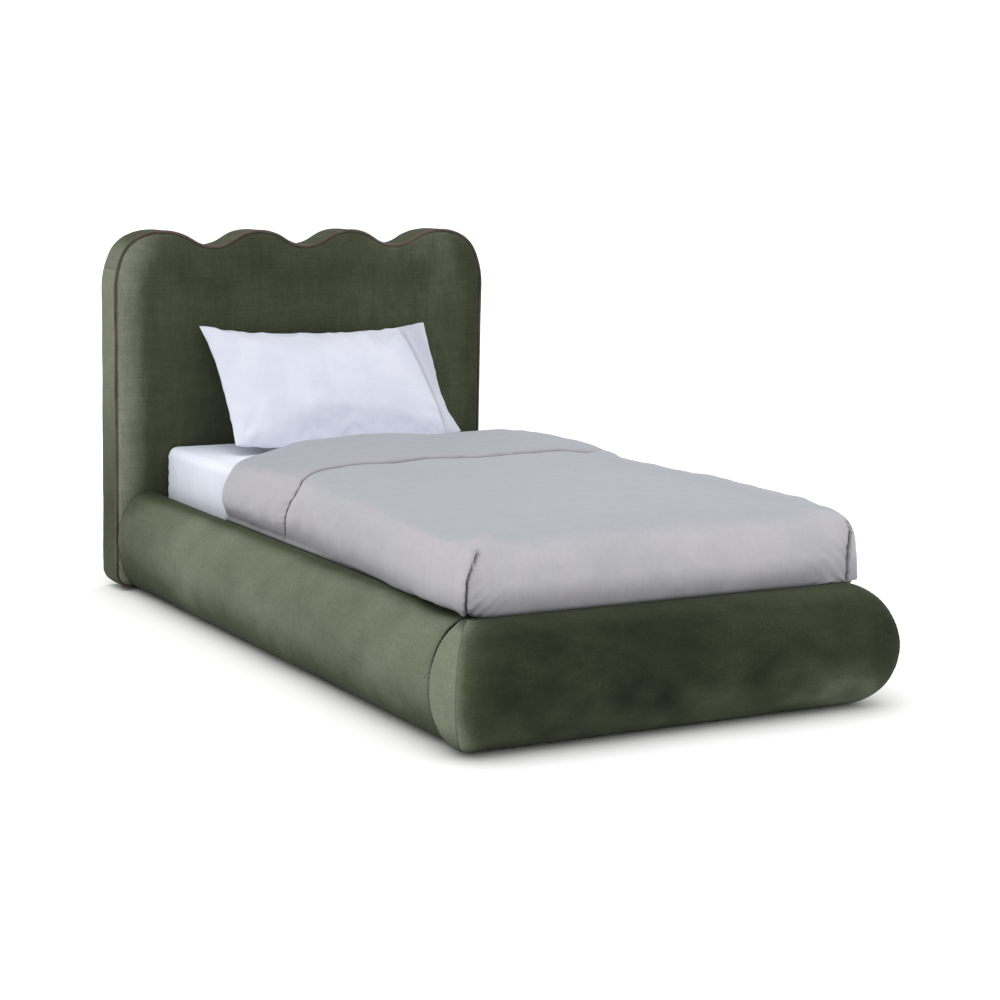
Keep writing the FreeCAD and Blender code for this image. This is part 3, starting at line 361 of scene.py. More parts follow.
def piping_mat():
    m = Nodes("mat_piping", 0.82, Specular_IOR_Level=0.2, Sheen_Weight=0.25, Sheen_Roughness=0.5)
    s = m.attr("run")
    twill = m.math("SINE", m.math("MULTIPLY", s, 6.2832 / 0.0022))
    n = m.noise(300.0, 3.0, 0.6)
    d = m.noise(14.0, 2.0, 0.5)
    col = m.mix(m.span(d, 0.35, 0.65), lin(66, 54, 47), lin(88, 72, 64))
    col = m.tone(col, m.span(twill, -1, 1, 0.86, 1.08))
    col = m.tone(col, m.span(n, 0.2, 0.8, 0.85, 1.12))
    return m.done(col, m.bump(twill, 0.35, 0.0004))


def lining_mat():
    m = Nodes("mat_lining", 0.9, Specular_IOR_Level=0.12)
    cell = m.add("ShaderNodeTexVoronoi", {"Vector": m.obj, "Scale": 420.0}, feature="F1").outputs[0]
    f = m.noise(180.0, 4.0, 0.7)
    s = m.noise(4.0, 3.0, 0.6)
    col = m.mix(m.span(f, 0.3, 0.7), (0.016, 0.017, 0.016, 1), (0.040, 0.041, 0.039, 1))
    col = m.tone(col, m.span(s, 0.3, 0.7, 0.85, 1.12))
    return m.done(col, m.bump(cell, 0.4, 0.0005))


def foam_mat(name, a, b):
    m = Nodes(name, 0.95, Specular_IOR_Level=0.1)
    cell = m.add("ShaderNodeTexVoronoi", {"Vector": m.obj, "Scale": 700.0}, feature="F1").outputs[0]
    s = m.noise(8.0, 3.0, 0.6)
    col = m.mix(m.span(s, 0.3, 0.7), a, b)
    col = m.tone(col, m.span(cell, 0.0, 0.6, 0.75, 1.05))
    return m.done(col, m.bump(cell, 0.5, 0.0008))


def ticking_mat():
    m = Nodes("mat_ticking", 0.8, Specular_IOR_Level=0.2, Sheen_Weight=0.1)
    sep = m.add("ShaderNodeSeparateXYZ", {0: m.obj})
    stripe = m.math("SINE", m.math("MULTIPLY", m.math("ADD", sep.outputs[0], sep.outputs[1]), 6.2832 / 0.024))
    n = m.noise(500.0, 3.0, 0.6)
    col = m.mix(m.span(stripe, 0.55, 0.8), (0.70, 0.69, 0.66, 1), (0.42, 0.45, 0.50, 1))
    col = m.tone(col, m.span(n, 0.2, 0.8, 0.9, 1.06))
    return m.done(col, m.bump(n, 0.3, 0.0004))


# velvet ramp ends: the dark end is painted shade for front faces, the light end painted light for faces turned to the
# light
DARK, MID, LIGHT = lin(22, 26, 14), lin(66, 71, 54), lin(134, 139, 121)
V_FRONT = velvet("mat_velvet_front", DARK, MID, LIGHT, blotch=0.16, slub=0.15, brush=(1.5, 1.5, 0.8), pool=5.0)
V_BORDER = velvet("mat_velvet_border", DARK, MID, LIGHT, blotch=0.12, slub=0.08, brush=(1, 1, 1), pool=4.0)
V_SIDE = velvet("mat_velvet_side", DARK, MID, LIGHT, blotch=0.16, slub=0.07, brush=(1.0, 0.8, 0.8), pool=4.5)
V_FOOT = velvet("mat_velvet_foot", DARK, MID, LIGHT, blotch=0.20, slub=0.09, brush=(0.7, 1.0, 1.3), pool=5.5)
M_PIPE = piping_mat()
M_LINING = lining_mat()
M_FOAM = foam_mat("mat_foam", (0.72, 0.66, 0.45, 1), (0.62, 0.56, 0.38, 1))
M_WAD = foam_mat("mat_wadding", (0.78, 0.78, 0.76, 1), (0.70, 0.70, 0.69, 1))
M_TICK = ticking_mat()
M_SHEET = cloth("mat_sheet", lin(226, 230, 241), lin(220, 225, 238), fold=0.12, thread=0.03)
M_CASE = cloth("mat_pillowcase", lin(211, 213, 225), lin(204, 207, 220), fold=0.20, thread=0.03)
M_DUVET = cloth("mat_duvet", lin(175, 173, 178), lin(169, 168, 173), fold=0.10, sheen=0.05, rough=0.66,
                painted_cool_top=lin(159, 162, 169), thread=0.09, streak=(2.0, 0.5, 2.0))
M_PINE_X = timber("mat_pine_x", (0.66, 0.46, 0.25, 1), (0.50, 0.31, 0.15, 1), 0)
M_PINE_Y = timber("mat_pine_y", (0.66, 0.46, 0.25, 1), (0.50, 0.31, 0.15, 1), 1)
M_PINE_Z = timber("mat_pine_z", (0.66, 0.46, 0.25, 1), (0.50, 0.31, 0.15, 1), 2)
M_BEECH = timber("mat_beech", (0.68, 0.47, 0.28, 1), (0.54, 0.34, 0.19, 1), 0, ring=16.0, rough=0.42, fine=240.0)
M_PLY = ply("mat_plywood")
M_BOARD = board("mat_hardboard")
M_ZINC = metal("mat_zinc", (0.62, 0.63, 0.62, 1), (0.50, 0.52, 0.54, 1), 0.36, 1.0)
M_STEEL = metal("mat_black_steel", (0.018, 0.018, 0.018, 1), (0.030, 0.030, 0.029, 1), 0.45, 0.0, 900.0,
                (0.10, 0.10, 0.10, 1))
M_PLASTIC = plastic("mat_black_plastic")


# =========================================================== headboard shapes
HALF, PEAK, DIP = 0.5925, 1.035, 0.9905
BASE, CORNER = 0.009, 0.045


def arc(cx, cz, r, a0, a1, ds=0.0022):
    n = max(3, int(abs(a1 - a0) * r / ds))
    a = np.linspace(a0, a1, n + 1)[:-1]
    return np.stack([cx + r * np.cos(a), cz + r * np.sin(a)], 1)


def half_outline(inset=0.0):
    """Right half of the outline, from the middle dip round to the middle of the bottom."""
    hx, dx, ox, rp = 0.146, 0.292, 0.450, 0.140
    rise = PEAK - DIP
    rv = (hx ** 2 + rise ** 2) / (2 * rise) - rp
    rq = ((ox - dx) ** 2 + rise ** 2) / (2 * rise) - rv
    zc, zp, zq = DIP + rv, PEAK - rp, PEAK - rq
    s1, s2, r2 = math.sin(math.radians(25)), math.sin(math.radians(65)), 0.105
    a, b = HALF - ox - (s2 - s1) * r2, 0.165 - (s2 - s1) * r2
    det = s1 * s1 - (1 - s2) ** 2
    r1, r3 = (a * s1 - b * (1 - s2)) / det, (b * s1 - a * (1 - s2)) / det
    t, u = math.atan2(zp - zc, hx), math.atan2(zq - zc, ox - dx)
    a65, a25 = math.radians(65), math.radians(25)
    c1 = (ox, PEAK - r1)
    c2 = (c1[0] + (r1 - r2) * math.cos(a65), c1[1] + (r1 - r2) * math.sin(a65))
    c3 = (c2[0] - (r3 - r2) * math.cos(a25), c2[1] - (r3 - r2) * math.sin(a25))
    x, low, cor = HALF - inset, BASE + inset, (HALF - CORNER, BASE + CORNER)
    pi = math.pi
    parts = [arc(0, zc, rv + inset, -pi / 2, t), arc(hx, zp, rp - inset, pi + t, -t),
             arc(dx, zc, rv + inset, -pi - t, u), arc(ox, zq, rq - inset, pi + u, pi / 2),
             arc(c1[0], c1[1], r1 - inset, pi / 2, a65), arc(c2[0], c2[1], r2 - inset, a65, a25),
             arc(c3[0], c3[1], r3 - inset, a25, 0)]
    n = int((c3[1] - cor[1]) / 0.004)
    parts.append(np.stack([np.full(n, x), np.linspace(c3[1], cor[1], n + 1)[:-1]], 1))
    parts.append(arc(cor[0], cor[1], max(CORNER - inset, 1e-4), 0, -pi / 2))
    n = int(cor[0] / 0.006)
    parts.append(np.stack([np.linspace(cor[0], 0, n + 1), np.full(n + 1, low)], 1))
    return np.concatenate(parts)


def loop_of(inset=0.0):
    """Closed outline, clockwise seen from the foot of the bed."""
    h = half_outline(inset)
    left = h[::-1].copy()
    left[:, 0] *= -1
    return np.concatenate([h[:-1], left[:-1]])


def loop_normals(L):
    t = np.roll(L, -1, 0) - np.roll(L, 1, 0)
    n = np.stack([-t[:, 1], t[:, 0]], 1)
    n /= np.linalg.norm(n, axis=1, keepdims=True)
    mid = L.mean(0)
    if ((L - mid) * n).sum() < 0:
        n = -n
    return n


LOOP = resample(loop_of(0.0), 1500, closed=True)
LNORM = loop_normals(LOOP)
LRUN = np.r_[0, np.cumsum(np.linalg.norm(np.diff(LOOP, axis=0), axis=1))]
SEAM_Z = 0.927


def panel_grid(inset, nx, nz):
    """Points that fill the outline, their distance from the edge and the edge's outward x."""
    h = half_outline(inset)
    top = h[:np.argmax(h[:, 0] >= h[:, 0].max() - 1e-9) + 1]
    low = h[len(h) - np.argmax(h[::-1, 0] >= h[:, 0].max() - 1e-9) - 1:][::-1]
    w = h[:, 0].max()
    e = np.linspace(-1, 1, nx)
    x = w * (0.40 * e + 0.60 * np.sin(e * math.pi / 2))
    zt = np.interp(np.abs(x), top[:, 0], top[:, 1])
    zb = np.interp(np.abs(x), low[:, 0], low[:, 1])
    g = np.linspace(0, 1, nz)
    g = 0.45 * g + 0.55 * (1 - np.cos(math.pi * g)) / 2
    X = np.repeat(x[:, None], nz, 1)
    Z = zb[:, None] + (zt - zb)[:, None] * g[None, :]
    L = resample(loop_of(inset), 1600, closed=True)
    N = loop_normals(L)
    kd = kdtree.KDTree(len(L))
    for i, p in enumerate(L):
        kd.insert((p[0], p[1], 0), i)
    kd.balance()
    D, NX, NZ = np.zeros(X.shape), np.zeros(X.shape), np.zeros(X.shape)
    for i in range(nx):
        for j in range(nz):
            _, k, d = kd.find((X[i, j], Z[i, j], 0))
            D[i, j], NX[i, j], NZ[i, j] = d, N[k, 0], N[k, 1]
    return X, Z, D, NX, NZ


# ------------------------------------------------ padded front of the headboard
def front_panel():
    X, Z, D, NX, NZ = panel_grid(0.0046, 190, 180)
    q = np.clip(D / 0.009, 0, 1)
    depth = 0.0085 * (1 - np.sqrt(np.clip(1 - (1 - q) ** 2, 0, 1))) + 0.0052 * np.exp(-D / 0.030)
    P = np.stack([X, np.zeros_like(X), Z], -1)
    ripple = 0.0007 * waves(P, 0.30, 3) + 0.0004 * waves(P, 0.10, 4, 16)
    pull = 0.0005 * np.exp(-D / 0.030) * waves(P, 0.045, 5, 18)      # small tension marks from the piping
    Y = 0.9733 + depth + (ripple + pull) * np.minimum(1, D / 0.01)
    outer = np.stack([X, Y, Z], -1)
    inner = np.stack([X, np.full_like(X, 0.9985), Z], -1)
    P3 = np.stack([X, X * 0, Z], -1)
    band = 0.5 + 0.5 * waves(P3, 0.55, 31, 7, (1.0, 1, 0.25))
    # painted light and shade: lighter on the left edge slopes and the top edge, darker on the right edge and towards
    # the bottom, over soft random bands
    nap_and_painted_light = 0.40 + 0.12 * (band - 0.5)
    nap_and_painted_light = nap_and_painted_light + 0.42 * smooth(0.125, 0.0, D) ** 1.3 * np.clip(-NX, 0, 1) ** 0.7 * smooth(-0.42, -0.50, X)
    nap_and_painted_light = nap_and_painted_light + 0.05 * np.exp(-D / 0.012) * np.clip(NZ, 0, 1)
    nap_and_painted_light = nap_and_painted_light - 0.05 * np.exp(-((D - 0.10) / 0.035) ** 2)
    nap_and_painted_light = nap_and_painted_light - 0.20 * smooth(0.10, 0.02, D) * np.clip(NX, 0, 1) * smooth(0.42, 0.50, X)
    nap_and_painted_light = nap_and_painted_light - 0.06 * smooth(0.45, 0.25, Z)
    # painted shade in the groove along the edge
    painted_shade = 0.85 * smooth(0.0016, 0.0, D)
    nu, nv = X.shape
    ob = build("headboard_front_panel", [(np.concatenate([outer.reshape(-1, 3), inner.reshape(-1, 3)]),
                                          shell_faces(nu, nv))], V_FRONT,
               {"nap_and_painted_light": [np.concatenate([nap_and_painted_light.ravel(), nap_and_painted_light.ravel()])],
                "painted_shade": [np.concatenate([painted_shade.ravel(), painted_shade.ravel()])]})
    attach(ob, "bed_frame")
    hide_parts("headboard_front_cover", "headboard_front_foam")


# ----------------------------------------------------- boxed border (gusset)
def border():
    prof = [(0.0095, 0.9868), (0.0060, 0.9862), (0.0030, 0.9864), (0.0012, 0.9874), (0.0003, 0.9890), (0.0, 0.9915)]
    for y in np.linspace(0.996, 1.083, 16):
        prof.append((0.0, y))
    prof += [(0.0, 1.0890), (0.0004, 1.0915), (0.0012, 1.0930), (0.0026, 1.0940), (0.0070, 1.0943),
             (0.0115, 1.0900), (0.0115, 1.0400), (0.0115, 0.9900)]
    prof = np.array(prof)
    ins, yy = prof[:, 0], prof[:, 1]
    nu, nv = len(LOOP), len(prof)
    s = LRUN[:, None]
    L3 = np.stack([np.repeat(LOOP[:, :1], nv, 1), np.repeat(yy[None, :], nu, 0), np.repeat(LOOP[:, 1:], nv, 1)], -1)
    belly = np.where(ins < 0.0005, 0.0013 * np.clip(1 - ((yy - 1.040) / 0.05) ** 2, 0, 1), 0)[None, :]
    face = np.exp(-ins / 0.002)[None, :]
    ripple = (0.0006 * waves(L3, 0.16, 11) + 0.0003 * waves(L3, 0.05, 12, 14)) * face
    # the seam where the top strip meets the side strips
    near = np.abs(LOOP[:, 1] - SEAM_Z)[:, None] + np.where(np.abs(LOOP[:, 0]) < 0.5, 1.0, 0.0)[:, None]
    groove = -0.0016 * np.exp(-(near / 0.0022) ** 2) + 0.0006 * np.exp(-((near - 0.007) / 0.004) ** 2)
    pucker = 0.0004 * np.exp(-near / 0.018) * np.sin(yy * 6.2832 / 0.0105)[None, :]
    off = -ins[None, :] + belly + ripple + (groove + pucker) * face
    P = L3.copy()
    P[..., 0] += LNORM[:, None, 0] * off
    P[..., 2] += LNORM[:, None, 1] * off
    # painted light and shade: side-facing strips lighter (the low ones most), the downward-facing strip darker, darker
    # towards the bottom and at the front and back edges
    side = smooth(0.35, 0.98, np.abs(LNORM[:, 0]))[:, None]
    low = (LOOP[:, 1] < SEAM_Z)[:, None]
    nap_and_painted_light = np.where(low, 0.80, 0.54 + 0.16 * side) * side + (1 - side) * 0.40
    nap_and_painted_light = nap_and_painted_light - 0.36 * smooth(0.90, 0.15, LOOP[:, 1])[:, None] * side
    nap_and_painted_light = np.where(LNORM[:, 1:] < -0.5, 0.25, nap_and_painted_light)
    nap_and_painted_light = np.repeat(nap_and_painted_light, nv, 1) if nap_and_painted_light.shape[1] == 1 else nap_and_painted_light
    nap_and_painted_light = nap_and_painted_light - 0.20 * smooth(1.083, 1.092, yy)[None, :] - 0.12 * smooth(0.994, 0.988, yy)[None, :]
    # painted shade in the groove where the strips meet and over the back of the strip
    painted_shade = 0.30 * np.exp(-(near / 0.0016) ** 2) * face + 0.85 * smooth(0.0045, 0.0075, ins)[None, :] * np.ones_like(near)
    ob = build("headboard_border_strip", [(P, grid_faces(nu, nv, 0, True, True))], V_BORDER,
               {"nap_and_painted_light": [nap_and_painted_light], "painted_shade": [painted_shade]}, sharp=60)
    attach(ob, "bed_frame")
    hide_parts("headboard_border_cover", "headboard_border_foam")


# -------------------------------------------------------------------- piping
def piping():
    h = half_outline(0.0012)
    stop = len(h) - np.argmax(h[::-1, 0] >= HALF - CORNER) - 1
    right = h[:stop + 1]
    left = right[::-1].copy()
    left[:, 0] *= -1
    line = resample(np.concatenate([left[:-1], right]), 1500)
    t = np.gradient(line, axis=0)
    t /= np.linalg.norm(t, axis=1, keepdims=True)
    n = np.stack([t[:, 1], -t[:, 0]], 1) * -1.0
    run = np.r_[0, np.cumsum(np.linalg.norm(np.diff(line, axis=0), axis=1))]
    P3 = np.stack([line[:, 0], line[:, 0] * 0, line[:, 1]], 1)
    sway = 0.0005 * waves(P3, 0.20, 21, 8)
    nod = 0.0004 * waves(P3, 0.13, 22, 8)
    sides = 14
    a = np.arange(sides) * 2 * math.pi / sides
    r = 0.0041 * (1 + 0.045 * np.sin(run * 6.2832 / 0.0088) + 0.03 * waves(P3, 0.03, 23, 10))
    ends = np.minimum(run, run[-1] - run)
    r = r * np.sqrt(np.clip(ends / 0.004, 0.02, 1))
    nx, nz = n[:, 0], n[:, 1]
    c, s = np.cos(a), np.sin(a)
    P = np.zeros((len(line), sides, 3))
    P[..., 0] = (line[:, 0] + nx * sway)[:, None] + r[:, None] * c[None, :] * nx[:, None]
    P[..., 2] = (line[:, 1] + nz * sway)[:, None] + r[:, None] * c[None, :] * nz[:, None]
    P[..., 1] = (0.9826 + nod)[:, None] + r[:, None] * s[None, :]
    faces = grid_faces(len(line), sides, 0, False, True)
    faces.append(list(range(sides)))
    faces.append(list(range((len(line) - 1) * sides, len(line) * sides))[::-1])
    turn = (run[:, None] + (a[None, :]) * 0.0022 / 6.2832 * 1.0)
    ob = build("headboard_piping_cord", [(P, faces)], M_PIPE, {"run": [turn]}, weld=0)
    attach(ob, "bed_frame")
    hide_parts("headboard_piping")


# ---------------------------------------------------------- cloth on the back
def back_cloth():
    X, Z, D, NX, NZ = panel_grid(0.0030, 120, 130)
    P = np.stack([X, X * 0, Z], -1)
    hem = 0.0009 * smooth(0.016, 0.013, D) * smooth(0.0, 0.0015, D)
    slack = 0.0007 * waves(P, 0.25, 41) * smooth(0.0, 0.08, D)
    drag = 0.0005 * waves(P, 0.05, 42, 16) * np.exp(-D / 0.03) * smooth(0, 0.004, D)
    Y = 1.0952 + hem + np.maximum(slack + drag, -0.0008)
    t = 0.0006
    outer = np.stack([X, Y, Z], -1)
    inner = np.stack([X, Y - t, Z], -1)
    nu, nv = X.shape
    ob = build("headboard_back_lining", [(np.concatenate([outer.reshape(-1, 3), inner.reshape(-1, 3)]),
                                          shell_faces(nu, nv))], M_LINING)
    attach(ob, "bed_frame")
    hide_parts("headboard_back_cloth")
    # staples round the hem
    L = resample(loop_of(0.0105), 104, closed=True)
    N = loop_normals(L)
    parts = []
    for k, (p, n) in enumerate(zip(L, N)):
        t2 = np.array([-n[1], n[0]])
        turn = 0.10 * math.sin(k * 2.39)
        d = t2 * math.cos(turn) + n * math.sin(turn)
        e = np.array([-d[1], d[0]])
        ring = []
        for u, y in ((-0.0056, 1.0950), (-0.0054, 1.0966), (-0.0045, 1.0971), (0.0045, 1.0971), (0.0054, 1.0966),
                     (0.0056, 1.0950)):
            for a in range(6):
                w, h = 0.0005 * math.cos(a * math.pi / 3), 0.0004 * math.sin(a * math.pi / 3)
                q = p + d * u + e * w
                ring.append((q[0], y + h, q[1]))
        f = grid_faces(6, 6, 0, False, True)
        f += [list(range(6))[::-1], list(range(30, 36))]
        parts.append((np.array(ring), f))
    st = build("headboard_back_staples", parts, M_ZINC, weld=0)
    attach(st, "bed_frame")


# ================================================================ side rolls
def roll_profile():
    """Section as (|x|, z, outward normal), from the bottom inner corner, closed."""
    pts = [(0.474, 0.0075), (0.4685, 0.0090), (0.4662, 0.0130)]
    pts += [(0.466, z) for z in np.linspace(0.02, 0.255, 14)]
    a = np.linspace(math.pi, math.pi / 2, 14)
    pts += [(0.5 + 0.034 * math.cos(t), 0.258 + 0.034 * math.sin(t)) for t in a]
    b = np.linspace(math.pi / 2, -1.262, 74)[1:]
    pts += [(0.5 + 0.096 * math.cos(t), 0.146 + 0.146 * math.sin(t)) for t in b]
    pts += [(0.5225, 0.0070)]
    pts += [(x, 0.007) for x in np.linspace(0.514, 0.482, 5)]
    P = np.array(pts)
    t = np.roll(P, -1, 0) - np.roll(P, 1, 0)
    n = np.stack([-t[:, 1], t[:, 0]], 1)
    n /= np.linalg.norm(n, axis=1, keepdims=True)
    if ((P - P.mean(0)) * n).sum() < 0:
        n = -n
    return P, n


FOOT_Y, HEAD_Y = -0.9415, 0.9735


def side_roll(sgn, label):
    P, n = roll_profile()
    ys = [(FOOT_Y + 0.0004, 0.0060), (FOOT_Y + 0.0008, 0.0038), (FOOT_Y + 0.0018, 0.0022), (FOOT_Y + 0.0034, 0.0011),
          (FOOT_Y + 0.0056, 0.0005), (FOOT_Y + 0.0085, 0.0001)]
    ys += [(y, 0.0) for y in np.linspace(FOOT_Y + 0.012, HEAD_Y - 0.020, 250)]
    ys += [(HEAD_Y - 0.013, 0.0006), (HEAD_Y - 0.007, 0.0022), (HEAD_Y - 0.002, 0.0050), (HEAD_Y + 0.0015, 0.0088),
           (HEAD_Y + 0.0030, 0.0130)]
    Y = np.array([v[0] for v in ys])
    I = np.array([v[1] for v in ys])
    nu, nv = len(Y), len(P)
    G = np.zeros((nu, nv, 3))
    G[..., 0] = P[None, :, 0]
    G[..., 1] = Y[:, None]
    G[..., 2] = P[None, :, 1]
    outside = smooth(0.485, 0.505, P[:, 0])[None, :] * smooth(0.008, 0.03, P[:, 1])[None, :]
    d0 = (Y - FOOT_Y)[:, None]
    d1 = (HEAD_Y - Y)[:, None]
    amp = (0.0016 * waves(G, 0.42, 51 + sgn) + 0.0007 * waves(G, 0.12, 53 + sgn, 14)) * smooth(0, 0.09, d0)
    # stitch puckers next to the seam, and soft drag lines fanning out of it
    turn = np.unwrap(np.arctan2(P[:, 1] - 0.146, P[:, 0] - 0.50))[None, :] * 0.13
    puck = 0.0007 * np.exp(-d0 / 0.011) * np.sin(turn * 6.2832 / 0.0120 + 0.7 * np.sin(turn * 90))
    fan = 0.0009 * np.exp(-d0 / 0.07) * np.sin(turn * 6.2832 / 0.036 + d0 * 9) * smooth(0.0, 0.02, d0)
    fan2 = 0.0010 * np.exp(-d1 / 0.09) * np.sin(turn * 6.2832 / 0.050 + 1.0) * smooth(0.0, 0.03, d1)
    off = (amp + puck + fan + fan2) * outside - I[:, None]
    G[..., 0] += n[None, :, 0] * off
    G[..., 2] += n[None, :, 1] * off
    nx, nz = n[None, :, 0], n[None, :, 1]
    z = P[None, :, 1]
    # painted light and shade: outward faces lighter, darker low down and near the head end, with real nap streaks
    nap_and_painted_light = 0.34 + 0.34 * smooth(0.10, 0.72, nx) * (0.08 + 0.92 * smooth(0.02, 0.165, z)) - 0.16 * smooth(0.06, 0.0, z)
    nap_and_painted_light = nap_and_painted_light * np.ones((nu, nv))
    nap_and_painted_light += 0.035 * waves(G, 0.5, 61) * smooth(0.2, 0.6, nx)
    lean = np.sin((Y[:, None] * 0.75 + z * 1.0) * 6.2832 / 0.19 + 2.0 * waves(G, 0.6, 62, 6))
    nap_and_painted_light += 0.016 * lean * smooth(0.2, 0.6, nx)
    nap_and_painted_light -= 0.15 * smooth(0.55, 0.0, d1)
    nap_and_painted_light -= 0.03 * smooth(0.9, 0.2, d0) * smooth(0.3, 0.7, nx)
    nap_and_painted_light = np.clip(nap_and_painted_light, 0.02, 1.0)
    # painted shade in the groove at the foot seam and at the head end
    painted_shade = np.exp(-(d0 / 0.0030) ** 2) * np.ones((nu, nv)) + 0.35 * np.exp(-d0 / 0.008)
    painted_shade = np.clip(painted_shade, 0, 1) + 0.5 * smooth(0.004, 0.0, np.abs(d1))
    faces = grid_faces(nu, nv, 0, False, True)
    faces.append(list(range(nv))[::-1])
    faces.append(list(range((nu - 1) * nv, nu * nv)))
    G[..., 0] *= sgn
    ob = build("side_roll_" + label, [(G, faces)], V_SIDE, {"nap_and_painted_light": [nap_and_painted_light], "painted_shade": [np.clip(painted_shade, 0, 1)]}, sharp=50)
    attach(ob, "bed_frame")
    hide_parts("side_rail_cover_" + label, "side_rail_foam_" + label)


# ================================================================ foot board
def roll_top(x):
    """Height of a side roll's top over |x|."""
    x = np.abs(np.asarray(x, float))
    inner = 0.258 + np.sqrt(np.clip(0.034 ** 2 - (np.minimum(x, 0.5) - 0.5) ** 2, 0, None))
    outer = 0.146 + 0.146 * np.sqrt(np.clip(1 - ((np.maximum(x, 0.5) - 0.5) / 0.096) ** 2, 0, 1))
    return np.where(x < 0.466, 0.258, np.where(x <= 0.5, inner, outer))


def foot_plan(k, th):
    """Plan line of the foot roll at one level, left half, from the seam plane to the middle."""
    xr = 0.5 + 0.096 * k
    hw, fy, r = 0.512 + 0.100 * k, 0.9735 + 0.1215 * k, 0.020 + 0.032 * k
    y1 = fy - r
    n = 40
    y = np.linspace(-FOOT_Y, y1, n)
    reach = 0.020 + 0.045 * k
    g = np.clip((y + FOOT_Y) / reach, 0, 1)
    x = xr + (hw - xr) * np.sin(g * math.pi / 2)
    side = np.stack([-x, -y], 1)
    a = np.linspace(0, math.pi / 2, 40)[1:]
    cor = np.stack([-(hw - r) - r * np.cos(a), -(y1) - r * np.sin(a)], 1)
    front = np.stack([np.linspace(-(hw - r), 0, 160)[1:], np.full(159, -fy)], 1)
    return np.concatenate([side, cor, front])


N_END, N_FRONT = 26, 110
THETAS = np.concatenate([np.linspace(-1.262, -1.0, 10)[:-1], np.linspace(-1.0, 1.25, 56)[:-1], np.linspace(1.25, math.pi / 2, 12)])


def foot_grid():
    """Left half of the outer surface: rows by level, columns along the plan, split at the mitre seam."""
    rows = []
    for th in THETAS:
        k = max(math.cos(th), 0.0)
        line = foot_plan(k, th)
        s = np.r_[0, np.cumsum(np.linalg.norm(np.diff(line, axis=0), axis=1))]
        g = (-line[:, 1] - 0.9405) - (-line[:, 0] - 0.499) * 137.0 / 106.0
        i = np.argmax((g > 0) & (np.arange(len(g)) > 0))
        s0 = s[i - 1] + (s[i] - s[i - 1]) * (0 - g[i - 1]) / (g[i] - g[i - 1]) if g[i - 1] < 0 else s[i]
        s0 = max(s0, 0.004)
        e = np.linspace(0, 1, N_END)
        e = 0.5 * e + 0.5 * (1 - np.cos(math.pi * e)) / 2
        f = np.linspace(0, 1, N_FRONT + 1)[1:]
        f = 1 - (1 - f) ** 1.0
        f = 0.45 * f + 0.55 * f ** 1.9
        q = np.r_[e * s0, s0 + f * (s[-1] - s0)]
        x = np.interp(q, s, line[:, 0])
        y = np.interp(q, s, line[:, 1])
        t = np.clip((-FOOT_Y - -(-y)) * 0 + (-y + FOOT_Y) / 0.032, 0, 1)
        ztop = roll_top(x) + (0.292 - roll_top(x)) * np.sqrt(np.clip(1 - (1 - t) ** 2, 0, 1))
        ztop = np.maximum(ztop, 0.2865)
        z = 0.146 + (ztop - 0.146) * math.sin(th) if th > 0 else 0.146 + 0.146 * math.sin(th) + 0 * x
        rows.append(np.stack([x, y, z + 0 * x], 1))
    return np.array(rows)


